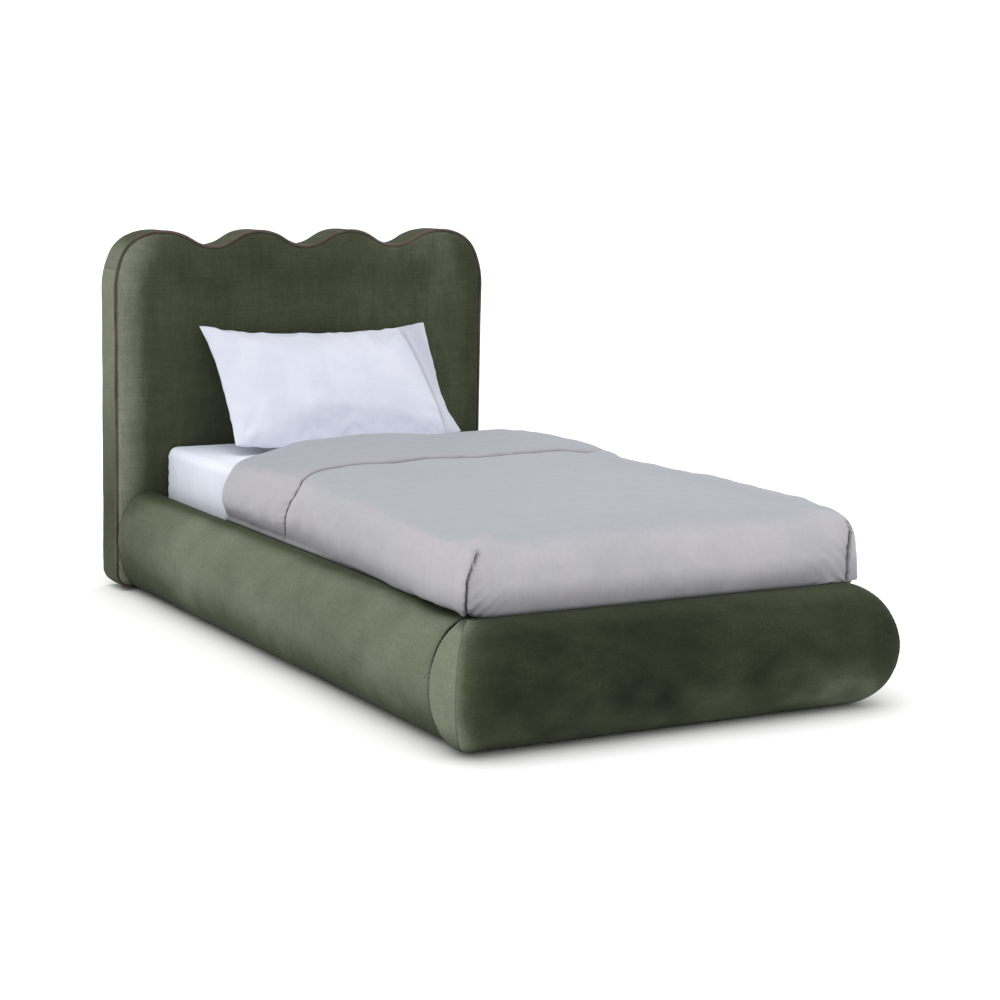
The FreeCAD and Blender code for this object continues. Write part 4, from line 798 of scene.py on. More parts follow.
def foot_board():
    H = foot_grid()                                   # (levels, columns, 3), left half
    nz, nc = H.shape[:2]
    R = H[:, ::-1].copy()
    R[..., 0] *= -1
    G = np.concatenate([H, R[:, 1:]], 1)              # whole width
    ncol = G.shape[1]
    N = grid_normals(G)
    if N[nz // 2, ncol // 2, 1] > 0:
        N = -N
    col = np.arange(ncol)
    fold = np.minimum(col, ncol - 1 - col)            # column count from either end
    # distance from the mitre seam and from the seam plane, along each level
    step = np.r_[np.zeros((1, nz)), np.linalg.norm(np.diff(G, axis=1), axis=2).T].T
    run = np.cumsum(step, 1)
    runr = run[:, -1:] - run
    here = np.where(col < ncol // 2, 1, 0)[None, :]
    rr = np.where(here == 1, run, runr)
    seam_run = rr[:, N_END - 1:N_END]
    ds = rr - seam_run                                # >0 on the front panel
    in_end = fold < N_END
    lift = 0.0014 * waves(G, 0.34, 71) + 0.0007 * waves(G, 0.10, 72, 16)
    rise = smooth(0.0, 0.06, rr)
    th = THETAS[:, None]
    edge = smooth(-1.262, -1.0, th) * smooth(math.pi / 2, 1.2, th)
    stitch = np.sin(th * 0.14 * 6.2832 / 0.0125)
    f_edge = -0.0016 * (1 - np.sqrt(np.clip(1 - (1 - np.clip(ds / 0.0030, 0, 1)) ** 2, 0, 1)))
    f_puck = 0.0006 * np.exp(-np.clip(ds, 0, 1) / 0.010) * stitch
    main = np.where(ds >= 0, lift * rise * edge + f_edge + f_puck, -0.0042)
    # keep the part under each end panel below it
    A = G + N * main[..., None]
    left = smooth(0.10, -0.10, G[..., 0])
    # painted light and shade: lighter round the left mitre corner and on faces turned up or down, with random lighter
    # patches low down
    nap_and_painted_light = 0.135 + 0.03 * smooth(0.0, 0.35, G[..., 0]) + 0.0 * rr
    nap_and_painted_light = nap_and_painted_light + (0.06 + 0.44 * left) * np.exp(-(np.clip(ds, 0, 1) / 0.030) ** 1.2)
    zz = G[..., 2] / 0.292
    patch = np.clip(0.35 + 0.65 * waves(G, 0.26, 77, 9), 0, 1)
    nap_and_painted_light = nap_and_painted_light + (0.24 * smooth(0.62, 0.15, zz) * smooth(-0.02, 0.08, zz)) * patch * smooth(0.6, -0.5, G[..., 0] * -1.0)
    nap_and_painted_light = nap_and_painted_light + 0.05 * waves(G, 0.11, 78, 12) * smooth(0.9, 0.3, zz)
    nap_and_painted_light = nap_and_painted_light + 0.11 * smooth(0.72, 0.98, N[..., 2])
    nap_and_painted_light = nap_and_painted_light + 0.14 * smooth(-0.1, -0.8, N[..., 2])
    parts, naps_and_painted_light = [(A, grid_faces(nz, ncol))], [np.clip(nap_and_painted_light, 0.03, 1)]
    # top: from the outer edge over to the inner face, then down it and back underneath
    top = A[-1]
    cols = []
    for p in top:
        xi = np.clip(p[0], -0.4998, 0.4998)
        yi, zi = FOOT_Y, float(roll_top(xi))
        seg = []
        reach = max((-p[1]) - (-yi), 0.0)
        for u in np.linspace(0, 1, 9)[1:]:
            y = p[1] + (yi - p[1]) * u
            x = p[0] + (xi - p[0]) * u
            z = zi + (p[2] - zi) * math.sqrt(max(1 - u ** 2, 0.0))
            seg.append((x, y, z))
        for z in (np.linspace(zi, 0.007, 12)[1:]):
            seg.append((xi, yi, z))
        cols.append(seg)
    C = np.array(cols).transpose(1, 0, 2)             # rows, columns
    C = np.concatenate([top[None], C])
    parts.append((C, grid_faces(C.shape[0], ncol)))
    # flat painted light levels: top cap mid, underside darker, end caps dark
    naps_and_painted_light.append(np.full(C.shape[:2], 0.30))
    U = np.concatenate([C[-1][None], A[0][None]])
    parts.append((U, grid_faces(2, ncol)))
    naps_and_painted_light.append(np.full(U.shape[:2], 0.10))
    # close each end along the seam plane
    for e in (0, ncol - 1):
        ring = np.concatenate([A[:, e], C[1:, e]])
        parts.append((ring, [list(range(len(ring)))]))
        naps_and_painted_light.append(np.full(len(ring), 0.2))
    # painted shade in the groove at the mitre seam
    painted_shades = [0.20 * np.exp(-(np.clip(ds, 0, 1) / 0.0012) ** 2) * (ds > -0.004) * left] + [np.zeros(len(v[0].reshape(-1, 3))) for v in parts[1:]]
    ob = build("foot_roll", parts, V_FOOT, {"nap_and_painted_light": naps_and_painted_light, "painted_shade": painted_shades}, sharp=55, weld=3e-5)
    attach(ob, "bed_frame")
    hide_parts("foot_board_cover", "foot_board_foam")
    # end panels
    for sgn, label in ((-1, "left"), (1, "right")):
        E = G[:, :N_END].copy() if sgn < 0 else G[:, ncol - N_END:][:, ::-1].copy()
        NE = N[:, :N_END] if sgn < 0 else N[:, ncol - N_END:][:, ::-1]
        w = rr[:, :N_END] if sgn < 0 else rr[:, ncol - N_END:][:, ::-1]
        d_in, d_out = w, w[:, -1:] - w
        rnd = lambda d, r: r * (1 - np.sqrt(np.clip(1 - (1 - np.clip(d / r, 0, 1)) ** 2, 0, 1)))
        off = -rnd(d_in, 0.0055) - rnd(d_out, 0.0016)
        off += 0.0007 * np.exp(-d_in / 0.010) * np.sin(th * 0.14 * 6.2832 / 0.0120)
        off += 0.0005 * np.exp(-d_out / 0.008) * stitch
        off += 0.0006 * waves(E, 0.09, 81 + sgn) * edge
        O = E + NE * off[..., None]
        I = E + NE * -0.0068
        # painted light and shade: lighter higher up unless facing straight up, the right panel darker all over, a
        # painted highlight along the mitre edge
        end_nap_and_painted_light = np.clip(0.40 * smooth(-0.02, 0.10, E[..., 2]) * smooth(1.02, 0.80, NE[..., 2]) + 0.36 + 0 * w, 0, 1)
        if sgn > 0:
            end_nap_and_painted_light = end_nap_and_painted_light * 0.75
        end_nap_and_painted_light += 0.10 * np.exp(-d_out / 0.0025)
        # painted shade in the grooves at both seams; the inner surface is fully shaded
        end_painted_shade = np.clip(np.exp(-(d_in / 0.0030) ** 2) + 0.25 * np.exp(-d_in / 0.008) + 0.22 * np.exp(-(d_out / 0.0009) ** 2), 0, 1)
        ob = build("foot_end_" + label,
                   [(np.concatenate([O.reshape(-1, 3), I.reshape(-1, 3)]), shell_faces(nz, N_END))], V_SIDE,
                   {"nap_and_painted_light": [np.concatenate([end_nap_and_painted_light.ravel(), end_nap_and_painted_light.ravel()])],
                    "painted_shade": [np.concatenate([end_painted_shade.ravel(), np.ones(end_painted_shade.size)])]}, sharp=70)
        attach(ob, "bed_frame")
        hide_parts("foot_end_panel_" + label)


# ================================================================== mattress
def rounded_plan(hw, y0, y1, r, n=420):
    a = np.linspace(0, math.pi / 2, 40)
    cs = [(hw - r, y1 - r, 0), (-hw + r, y1 - r, 1), (-hw + r, y0 + r, 2), (hw - r, y0 + r, 3)]
    pts = []
    for cx, cy, q in cs:
        t = a + q * math.pi / 2
        pts.append(np.stack([cx + r * np.cos(t), cy + r * np.sin(t)], 1))
    pts = np.concatenate(pts)
    k = len(pts) // 4
    L = resample(np.concatenate([[[0, y1]], pts[k:], pts[:k]]), n, closed=True)
    t = np.roll(L, -1, 0) - np.roll(L, 1, 0)
    nn = np.stack([t[:, 1], -t[:, 0]], 1)
    return L, nn / np.linalg.norm(nn, axis=1, keepdims=True)


def to_middle(L, hw, y0, y1, f):
    """Plan points moved a share f of the way to the middle line."""
    mx = np.zeros(len(L))
    my = np.clip(L[:, 1], y0 + hw, y1 - hw)
    return np.stack([L[:, 0] + (mx - L[:, 0]) * f, L[:, 1] + (my - L[:, 1]) * f], 1)


def mattress_and_sheet():
    # quilted mattress
    hw, y0, y1, r = 0.4488, -0.9268, 0.9658, 0.044
    L, n = rounded_plan(hw, y0, y1, r, 520)
    zb, zt, re = 0.2056, 0.4138, 0.036
    prof = []
    for t in np.linspace(0, math.pi / 2, 7):
        prof.append((0.012 * (1 - math.sin(t)), zb + 0.012 * (1 - math.cos(t)), 0))
    for z in np.linspace(zb + 0.016, zt - re - 0.003, 12):
        prof.append((0.0, z, 1))
    for t in np.linspace(0, math.pi / 2, 7):
        prof.append((re * (1 - math.cos(t)), zt - re * (1 - math.sin(t)), 0))
    run = np.r_[0, np.cumsum(np.linalg.norm(np.diff(L, axis=0), axis=1))]
    rows = []
    for ins, z, side in prof:
        tuft = side * (-0.0016 + 0.0016 * np.sin(run * 6.2832 / 0.11) * math.sin((z - zb) * 2 * math.pi / 0.105))
        d = -ins + tuft - 0.0026
        rows.append(np.c_[L + n * d[:, None] if np.ndim(d) else L + n * d, np.full(len(L), z)])
    lid, floor_ = [], []
    for f in np.r_[0.02, 0.05, 0.09, np.linspace(0.14, 1.0, 26)]:
        w = re + 0.0026
        q = to_middle(L - n * w, hw - w, y0 + w, y1 - w, f)
        w = 0.0146
        g = to_middle(L - n * w, hw - w, y0 + w, y1 - w, f)
        u, v = (q[:, 0] + q[:, 1]) * 6.2832 / 0.17, (q[:, 0] - q[:, 1]) * 6.2832 / 0.17
        quilt = 0.0030 * (np.minimum(np.abs(np.sin(u / 2)), np.abs(np.sin(v / 2))) ** 0.5 - 1.0)
        lid.append(np.c_[q, zt + quilt * min(1, f * 8)])
        floor_.append(np.c_[g, zb - quilt * min(1, f * 8) * 0.8])
    G = np.array(floor_[::-1] + rows + lid)
    case = build("mattress_quilt", [(G, grid_faces(G.shape[0], G.shape[1], 0, False, True))], M_TICK, sharp=70, weld=1e-5)
    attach(case, "mattress")
    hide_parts("mattress_bottom_panel", "mattress_top_panel", "mattress_border", "mattress_core")
    # fitted sheet
    hw, y0, y1, r = 0.4508, -0.9288, 0.9682, 0.036
    L, n = rounded_plan(hw, y0, y1, r, 560)
    run = np.r_[0, np.cumsum(np.linalg.norm(np.diff(L, axis=0), axis=1))]
    L3 = np.c_[L, np.zeros(len(L))]
    zt, re = 0.4188, 0.026
    rows = []
    corner = smooth(0.17, 0.02, np.hypot(np.abs(L[:, 0]) - hw, np.minimum(np.abs(L[:, 1] - y0), np.abs(L[:, 1] - y1))))
    for z in np.r_[0.2095, 0.2115, 0.2150, 0.2200, 0.2260, np.linspace(0.234, zt - re, 15)]:
        gather = 0.0007 * math.exp(-(z - 0.209) / 0.016) * np.sin(run * 6.2832 / 0.021 + 2 * np.sin(run * 17))
        drag = 0.0011 * corner * np.sin((run - 3.0 * (z - 0.3)) * 6.2832 / 0.052 + 1.7 * np.sin(run * 9))
        soft = 0.0010 * waves(L3 + np.array([0, 0, z]), 0.30, 91)
        rows.append(np.c_[L + n * (gather + drag + soft - 0.0006)[:, None], np.full(len(L), z)])
    for t in np.linspace(0, math.pi / 2, 10)[1:]:
        drag = 0.0009 * corner * np.sin((run - 0.3) * 6.2832 / 0.052 + 1.7 * np.sin(run * 9)) * math.cos(t)
        soft = 0.0010 * waves(L3 + np.array([0, 0, zt - re]), 0.30, 91) * math.cos(t)
        ins = re * (1 - math.cos(t))
        rows.append(np.c_[L + n * (drag + soft - 0.0006 * math.cos(t) - ins)[:, None],
                          np.full(len(L), zt - re * (1 - math.sin(t)))])
    inner = L - n * re
    flat = inner
    for f in np.r_[0.015, 0.035, 0.06, 0.09, np.linspace(0.13, 1.0, 34)]:
        q = to_middle(flat, hw - re, y0 + re, y1 - re, f)
        q3 = np.c_[q, np.zeros(len(q))]
        wob = 0.0014 * waves(q3, 0.34, 93, 10) + 0.0007 * waves(q3, 0.11, 94, 14, (1.6, 0.7, 1))
        wob = np.minimum(wob, 0.0008) - 0.0006
        rows.append(np.c_[q, zt + wob * min(1, f * 9)])
    O = np.array(rows)
    O = O[:, ::-1]
    N = grid_normals(O, False, True)
    mid = O[8:14]
    if ((mid - np.array([0, 0.02, 0.3])) * N[8:14]).sum() < 0:
        N = -N
    N[-1] = np.array([0, 0, 1.0])
    I = O - N * 0.0008
    nu, nv = O.shape[:2]
    faces = grid_faces(nu, nv, 0, False, True) + [q[::-1] for q in grid_faces(nu, nv, nu * nv, False, True)]
    for j in range(nv):
        j2 = (j + 1) % nv
        faces.append([j, j2, j2 + nu * nv, j + nu * nv])
    sh = build("bed_sheet", [(np.concatenate([O.reshape(-1, 3), I.reshape(-1, 3)]), faces)], M_SHEET, weld=1e-5)
    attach(sh, "mattress")
    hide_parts("fitted_sheet")


# ===================================================================== duvet
HEM_Y, FOLD_Y = 0.070, 0.470
XC, YC = 0.385, -0.845            # the flat core of the duvet; everything else rolls over its edges


def duvet_profiles(y):
    """Half-width and top height of the side profile at a given length position."""
    near_foot = float(smooth(0.1, -0.9, y))
    hs = 0.479 + 0.034 * near_foot + 0.022 * float(smooth(-0.45, -0.845, y))
    zt = 0.472 + 0.006 * float(smooth(0.05, -0.45, y))
    return hs, zt


def side_curve(y, t):
    hs, zt = duvet_profiles(y)
    pts = [(XC - 0.04, zt), (XC, zt - 0.002), (0.425, zt - 0.009), (hs - 0.030, zt - 0.026), (hs - 0.009, zt - 0.055), (hs, zt - 0.095),
           (hs - 0.0005, 0.340), (hs - 0.004, 0.3130), (min(hs - 0.006, 0.508), 0.2985),
           (0.4790 + 0.3 * max(hs - 0.50, 0), 0.2905), (0.4715, 0.2800), (0.4657, 0.2610), (0.4648, 0.2380)]
    c = spline(pts, 0.055 + 0.945 * t)
    return c - np.array([spline(pts, [0.055])[0, 0] - XC, 0]) * (1 - t[:, None]) ** 2


def foot_curve(t):
    zt = 0.478
    pts = [(-YC - 0.04, zt), (-YC, zt - 0.003), (0.888, zt - 0.012), (0.922, zt - 0.034), (0.945, zt - 0.068), (0.957, zt - 0.108),
           (0.9610, 0.335), (0.9610, 0.312), (0.9600, 0.2965), (0.9540, 0.2885), (0.9465, 0.2800),
           (0.9411, 0.2605), (0.9405, 0.2380)]
    c = spline(pts, 0.055 + 0.945 * t)
    return c - np.array([spline(pts, [0.055])[0, 0] + YC, 0]) * (1 - t[:, None]) ** 2


def inner_side(t):
    pts = [(XC, 0.4203), (0.415, 0.4200), (0.436, 0.4160), (0.4490, 0.4030), (0.4535, 0.3850), (0.4540, 0.340),
           (0.4540, 0.300), (0.4540, 0.270), (0.4542, 0.2380)]
    return spline(pts, t)


def inner_foot(t):
    pts = [(-YC, 0.4203), (0.890, 0.4200), (0.912, 0.4160), (0.9255, 0.4030), (0.9305, 0.3850), (0.9310, 0.340),
           (0.9310, 0.300), (0.9310, 0.270), (0.9312, 0.2380)]
    return spline(pts, t)


def duvet():
    NS = 66                                          # steps over an edge, from the core to the hem
    T = np.linspace(0, 1, NS + 1)
    ax = np.concatenate([-(1 + T[::-1][:-1]), np.linspace(-1, 1, 112), 1 + T[1:]])
    # length rows: head end first
    main_rows = np.linspace(HEM_Y - 0.030, YC, 118)
    hem = [(0.0150, 0.0213, 1), (0.0095, 0.0200, 1), (0.0055, 0.0175, 1), (0.0028, 0.0140, 1), (0.0012, 0.0100, 1),
           (0.0004, 0.0055, 1), (0.0000, 0.0000, 1), (-0.0003, -0.0060, 1), (-0.0010, -0.0085, 0),
           (-0.0017, -0.0050, 0), (-0.0022, 0.0005, 0), (-0.0034, 0.0045, 0), (-0.0056, 0.0075, 0),
           (-0.0095, 0.0098, 0), (-0.0150, 0.0108, 0), (-0.0220, 0.0108, 0)]
    band_rows = np.linspace(FOLD_Y - 0.030, HEM_Y + 0.021, 46)
    rows = []                                        # (y, extra thickness, is band, foot step, share to head fold)
    for y in band_rows:
        rows.append((y, 0.0215, 1, 0.0))
    for dy, dt, b in hem:
        rows.append((HEM_Y + dy, dt, b, 0.0))
    for y in main_rows:
        rows.append((y, 0.0106 * math.exp(-((HEM_Y - 0.022 - y) / 0.050) ** 2), 0, 0.0))
    for t in T[1:]:
        rows.append((YC, 0.0, 0, t))
    nb, na = len(rows), len(ax)
    O = np.zeros((nb, na, 3))
    I = np.zeros((nb, na, 3))
    info = np.zeros((nb, na, 4))                     # rho, phi, pleat side, band
    fc, fi = foot_curve, inner_foot
    away = np.zeros((nb, na))                        # signed way from the corner fold, along the face
    for b, (y, dt, band, tf) in enumerate(rows):
        ta = np.clip(np.abs(ax) - 1, 0, None)
        sg = np.sign(ax)
        core_x = np.clip(ax, -1, 1) * XC
        rho = np.maximum(ta, tf)
        if tf > 0:
            with np.errstate(divide="ignore", invalid="ignore"):
                ratio = np.where(ta >= tf, tf / np.maximum(ta, 1e-9), 2 - ta / tf)
            close = (ratio - 1.09) * 0.72 * np.exp(-((ratio - 1.09) / 0.30) ** 2)
            phi = (math.pi / 4) * (ratio - close * smooth(0, 0.3, ratio) * smooth(2, 1.7, ratio))
        else:
            phi = np.zeros(na)
        so = side_curve(y, rho)
        fo = fc(rho)
        si, ff = inner_side(rho), fi(rho)
        w = np.sin(phi) ** 2
        zo = so[:, 1] * (1 - w) + fo[:, 1] * w
        zo = zo + np.where(sg > 0, 0.012, 0.016) * np.exp(-((phi - 0.84) / 0.40) ** 2) * smooth(0.05, 0.22, rho) * smooth(0.62, 0.40, rho)
        zi = si[:, 1] * (1 - w) + ff[:, 1] * w
        # a rounded corner: superellipse between the side's and the foot's reach
        c, s = np.cos(phi), np.sin(phi)
        p = 2.3 + 5.2 * smooth(0.05, 0.34, rho) + np.where(sg > 0, 10.0, 0.0) * smooth(0.26, 0.46, rho)
        rad = 1.0 / np.maximum((np.abs(c) ** p + np.abs(s) ** p), 1e-9) ** (1 / p)
        ro_s, ro_f = so[:, 0] - XC, fo[:, 0] + YC
        ri_s, ri_f = si[:, 0] - XC, ff[:, 0] + YC
        O[b, :, 0] = core_x + sg * ro_s * c * rad
        O[b, :, 1] = y - ro_f * s * rad
        O[b, :, 2] = zo
        I[b, :, 0] = core_x + sg * ri_s * c * rad
        I[b, :, 1] = y - ri_f * s * rad
        I[b, :, 2] = zi
        info[b, :, 0], info[b, :, 1], info[b, :, 2], info[b, :, 3] = rho, phi, tf > 0, band
        lp = np.where(sg > 0, np.interp(rho, [0.30, 0.35, 0.40, 0.45, 0.50, 0.55, 0.60, 0.65, 0.70, 0.80],
                                        [0.77, 0.79, 0.83, 0.87, 0.90, 0.915, 0.93, 0.945, 0.96, 0.97]),
                      np.interp(rho, [0.30, 0.35, 0.40, 0.45, 0.50, 0.55, 0.60, 0.65, 0.70, 0.75, 0.80, 1.0],
                                [1.0, 0.979, 0.943, 0.90, 0.852, 0.836, 0.827, 0.811, 0.745, 0.664, 0.60, 0.55]))
        rp = 1.0 / (np.cos(lp) ** p + np.sin(lp) ** p) ** (1 / p)
        away[b] = ((XC + ro_s * np.cos(lp) * rp - np.abs(O[b, :, 0]))
                   - (O[b, :, 1] - (YC - ro_f * np.sin(lp) * rp)))
    N = grid_normals(O)
    if N[60, na // 2, 2] < 0:
        N = -N
    # the hem rows share one station, so their normals come from a plain row beside them
    nh = len(band_rows)
    for b in range(nh - 1, nh + len(hem) + 1):
        N[b] = N[nh - 4]
    dt = np.array([r[1] for r in rows])[:, None]
    yrow = np.array([r[0] for r in rows])[:, None] * np.ones((1, na))
    rho, phi = info[..., 0], info[..., 1]
    side = rho > 0
    lowered = smooth(0.80, 0.62, rho)                # the tucked part stays put
    keep_tuck = smooth(0.78, 0.60, rho)
    # soft filling
    Q = O.copy()
    puff = 0.0042 * waves(Q, 0.55, 101, 10) + 0.0018 * waves(Q, 0.17, 102, 14) + 0.0007 * waves(Q, 0.06, 103, 18)
    crown = 0.006 * (1 - np.clip(np.abs(O[..., 0]) / 0.45, 0, 1) ** 2) * smooth(-0.93, -0.70, O[..., 1])
    thin = np.where(np.array([r[1] for r in rows])[:, None] > 0, 1 - 0.72 * smooth(0.08, 0.36, rho), 1 - 0.35 * smooth(0.1, 0.4, rho))
    band_t = dt * (0.10 + 0.90 * keep_tuck) * thin
    off = puff * keep_tuck + crown * 0.5 + band_t
    # drag lines along the sides, running down from the top edge
    sidew = smooth(0.12, 0.35, rho) * keep_tuck * np.cos(phi) ** 2
    off += sidew * 0.0016 * np.sin(O[..., 1] * 6.2832 / 0.115 + 2.2 * np.sin(O[..., 1] * 8.3) + (O[..., 2] - 0.4) * 7)
    footw = smooth(0.12, 0.35, rho) * keep_tuck * np.sin(phi) ** 2 * smooth(0.1, 0.2, info[..., 2])
    off += footw * 0.0016 * np.sin(O[..., 0] * 6.2832 / 0.130 + 1.9 * np.sin(O[..., 0] * 9.1) + (O[..., 2] - 0.4) * 5)
    # pleat at each foot corner: the side's edge comes round and ends in a seamed fold
    dist = away
    on = smooth(0.305, 0.365, rho) * smooth(0.79, 0.71, rho) * (O[..., 1] < -0.60)
    low = smooth(0.405, 0.365, O[..., 2])
    lump = np.where(dist < 0, 0.0062 * np.exp(-(dist / 0.026) ** 2), 0.0010 * np.exp(-(dist / 0.040) ** 2))
    groove = -0.0130 * np.exp(-(dist / 0.0024) ** 2)
    step = -0.0035 * smooth(-0.001, 0.003, dist) * np.exp(-np.clip(dist, 0, 1) / 0.05)
    ripple = (0.0012 + 0.0016 * low) * np.where(dist < 0, np.exp(np.minimum(dist, 0) / 0.017), np.exp(-np.maximum(dist, 0) / 0.018) * 0.45)
    ripple = ripple * np.sin(O[..., 2] * 6.2832 / 0.0185 + 2.1 * np.sin(O[..., 2] * 61))
    ray = (0.0008 + 0.0020 * low) * np.exp(-np.abs(dist - 0.026) / 0.034) * (dist > 0) * np.sin((O[..., 2] * 1.0 - dist * 0.75) * 6.2832 / 0.027)
    far_side = np.where(O[..., 0] > 0, 0.35, 1.0)
    lump, ripple = lump * far_side, ripple * far_side
    pleat = on * np.exp(-(dist / 0.0019) ** 2)
    off += on * (lump + groove + step + ripple + ray)
    # puckers where the band's edge turns down over each side
    hemd = np.abs(yrow - HEM_Y)
    turnw = smooth(0.02, 0.16, rho) * smooth(0.74, 0.5, rho) + 0.30
    curl = np.where(info[..., 3] > 0, np.exp(-hemd / 0.020), 0.35 * np.exp(-hemd / 0.012)) * turnw
    alongp = np.abs(ax)[None, :] * np.where(rho > 0, 0.26, 0.385)
    off += (1 - info[..., 2]) * 0.0013 * curl * np.sin(alongp * 6.2832 / 0.0190 + 3.1 * np.sin(alongp * 31)) * keep_tuck
    sway = (1 - info[..., 2]) * 0.0030 * np.exp(-hemd / 0.05) * waves(np.stack([O[..., 0], O[..., 0] * 0, O[..., 2]], -1), 0.22, 107, 8)
    across = np.where(rho > 0, XC + rho * 0.30, np.abs(O[..., 0]))
    left_side = O[..., 0] < 0
    wide = np.where(across < 0.468, np.where(left_side, 0.080, 0.125), 0.046)
    dip = -0.046 * np.exp(-((across - 0.468) / wide) ** 2) + 0.014 * smooth(0.52, 0.60, across)
    dip = dip * (1 - info[..., 2]) * np.exp(-hemd / 0.17)
    # the head end slumps over the near shoulder
    slump = -0.040 * smooth(0.24, 0.45, across) * smooth(0.66, 0.40, rho) * smooth(-0.15, 0.42, O[..., 1]) * left_side
    # painted shade: dark in the corner pleat creases and beside the fold, along the band's hem line, on the low sides
    # near the rolls, and a little over the band
    dark = np.clip(pleat + 0.30 * on * np.exp(-np.abs(dist) / 0.006) + 0.26 * on * low * (dist > 0) * np.exp(-np.abs(dist) / 0.020), 0, 1)
    dark = np.maximum(dark, (1 - info[..., 2]) * 1.0 * np.exp(-((yrow - HEM_Y + 0.0009) / 0.0021) ** 2)
                      * (0.55 + 0.45 * smooth(0.03, 0.30, rho)))
    dark = np.maximum(dark, 0.46 * smooth(0.370, 0.292, O[..., 2]) + 0.055 * (info[..., 3] > 0))
    O = O + N * off[..., None]
    O[..., 1] += (sway + dip) * smooth(0.95, 0.80, rho)
    O[..., 2] += slump
    # the far foot corner sits a little wider over its roll
    far = smooth(XC - 0.02, XC + 0.09, O[..., 0]) * smooth(0.284, 0.308, O[..., 2])
    O[..., 0] += far * (0.024 - 0.002 * smooth(-0.45, -0.88, O[..., 1]))
    O[..., 2] += 0.015 * smooth(0.22, 0.42, O[..., 0]) * (1 - 0.7 * info[..., 3]) * smooth(0.02, 0.15, rho) * smooth(0.52, 0.27, rho) * smooth(-0.95, -0.78, O[..., 1])
    # there its side stands out over the roll and comes down on it
    end = smooth(XC + 0.02, XC + 0.10, O[..., 0]) * smooth(-0.58, -0.86, O[..., 1])
    flare = np.interp(O[..., 2], [0.2925, 0.2965, 0.302, 0.313, 0.328, 0.372, 0.420, 0.445, 0.468],
                      [0.0, 0.031, 0.033, 0.0165, 0.011, 0.003, -0.002, 0.002, 0.0])
    O[..., 0] += end * flare * (rho < 0.80)
    sink = (0.292 - roll_top(O[..., 0])) * 0.80 * smooth(0.350, 0.305, O[..., 2]) * smooth(-0.941, -0.918, O[..., 1])
    O[..., 2] -= end * sink * smooth(0.82, 0.74, rho)
    O[..., 2] -= end * 0.8 * np.clip(O[..., 2] - 0.2935, 0, None) * smooth(0.345, 0.312, O[..., 2])
    # painted light: cool daylight tint on what faces up
    NN = grid_normals(O)
    if NN[60, na // 2, 2] < 0:
        NN = -NN
    painted_cool_share = smooth(0.55, 0.98, NN[..., 2])
    # folded head edge: rows that curl from the outer to the inner surface
    first_o, first_i = O[0].copy(), I[0].copy()
    half = (first_o - first_i) / 2
    mid = (first_o + first_i) / 2
    hl = np.linalg.norm(half, axis=1)
    curlr = []
    reach = np.minimum(hl * 1.0, 0.034)
    fill = FOLD_Y - rows[0][0]
    for a in np.linspace(0, math.pi, 17)[1:-1]:
        q = mid + half * math.cos(a)
        q[:, 1] += fill * 1.0 * math.sin(a) ** 0.85
        q[:, 1] += 0.003 * np.sin(alongp[0] * 6.2832 / 0.09 + 1.1) * math.sin(a)
        curlr.append(q)
    curlr = np.array(curlr)[::-1]                    # inner side first
    full = np.concatenate([I[::-1], curlr, O])       # from the inner hem at the foot, round the head, to the outer foot
    nfull = full.shape[0]
    painted_cool_rows = np.concatenate([np.zeros((nb, na)), np.repeat(painted_cool_share[:1], len(curlr), 0), painted_cool_share])
    faces = grid_faces(nfull, na)
    # close the two long tucked edges and the foot edge
    for col in (0, na - 1):
        for b in range(nb - 1):
            i1, i2 = nb - 1 - b, nb - 2 - b
            o1, o2 = nb + len(curlr) + b, nb + len(curlr) + b + 1
            faces.append([i1 * na + col, i2 * na + col, o2 * na + col, o1 * na + col])
        ring = [nb - 1] + list(range(nb, nb + len(curlr))) + [nb + len(curlr)]
        faces.append([r * na + col for r in ring])
    for a in range(na - 1):
        faces.append([a, a + 1, (nfull - 1) * na + a + 1, (nfull - 1) * na + a])
    painted_shade_rows = np.concatenate([np.zeros((nb, na)), np.zeros((len(curlr), na)), dark])
    ob = build("duvet_cover", [(full, faces)], M_DUVET, {"top": [painted_cool_rows], "painted_shade": [painted_shade_rows]}, weld=1e-5)
    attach(ob, "duvet")
    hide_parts("duvet")
    return ob


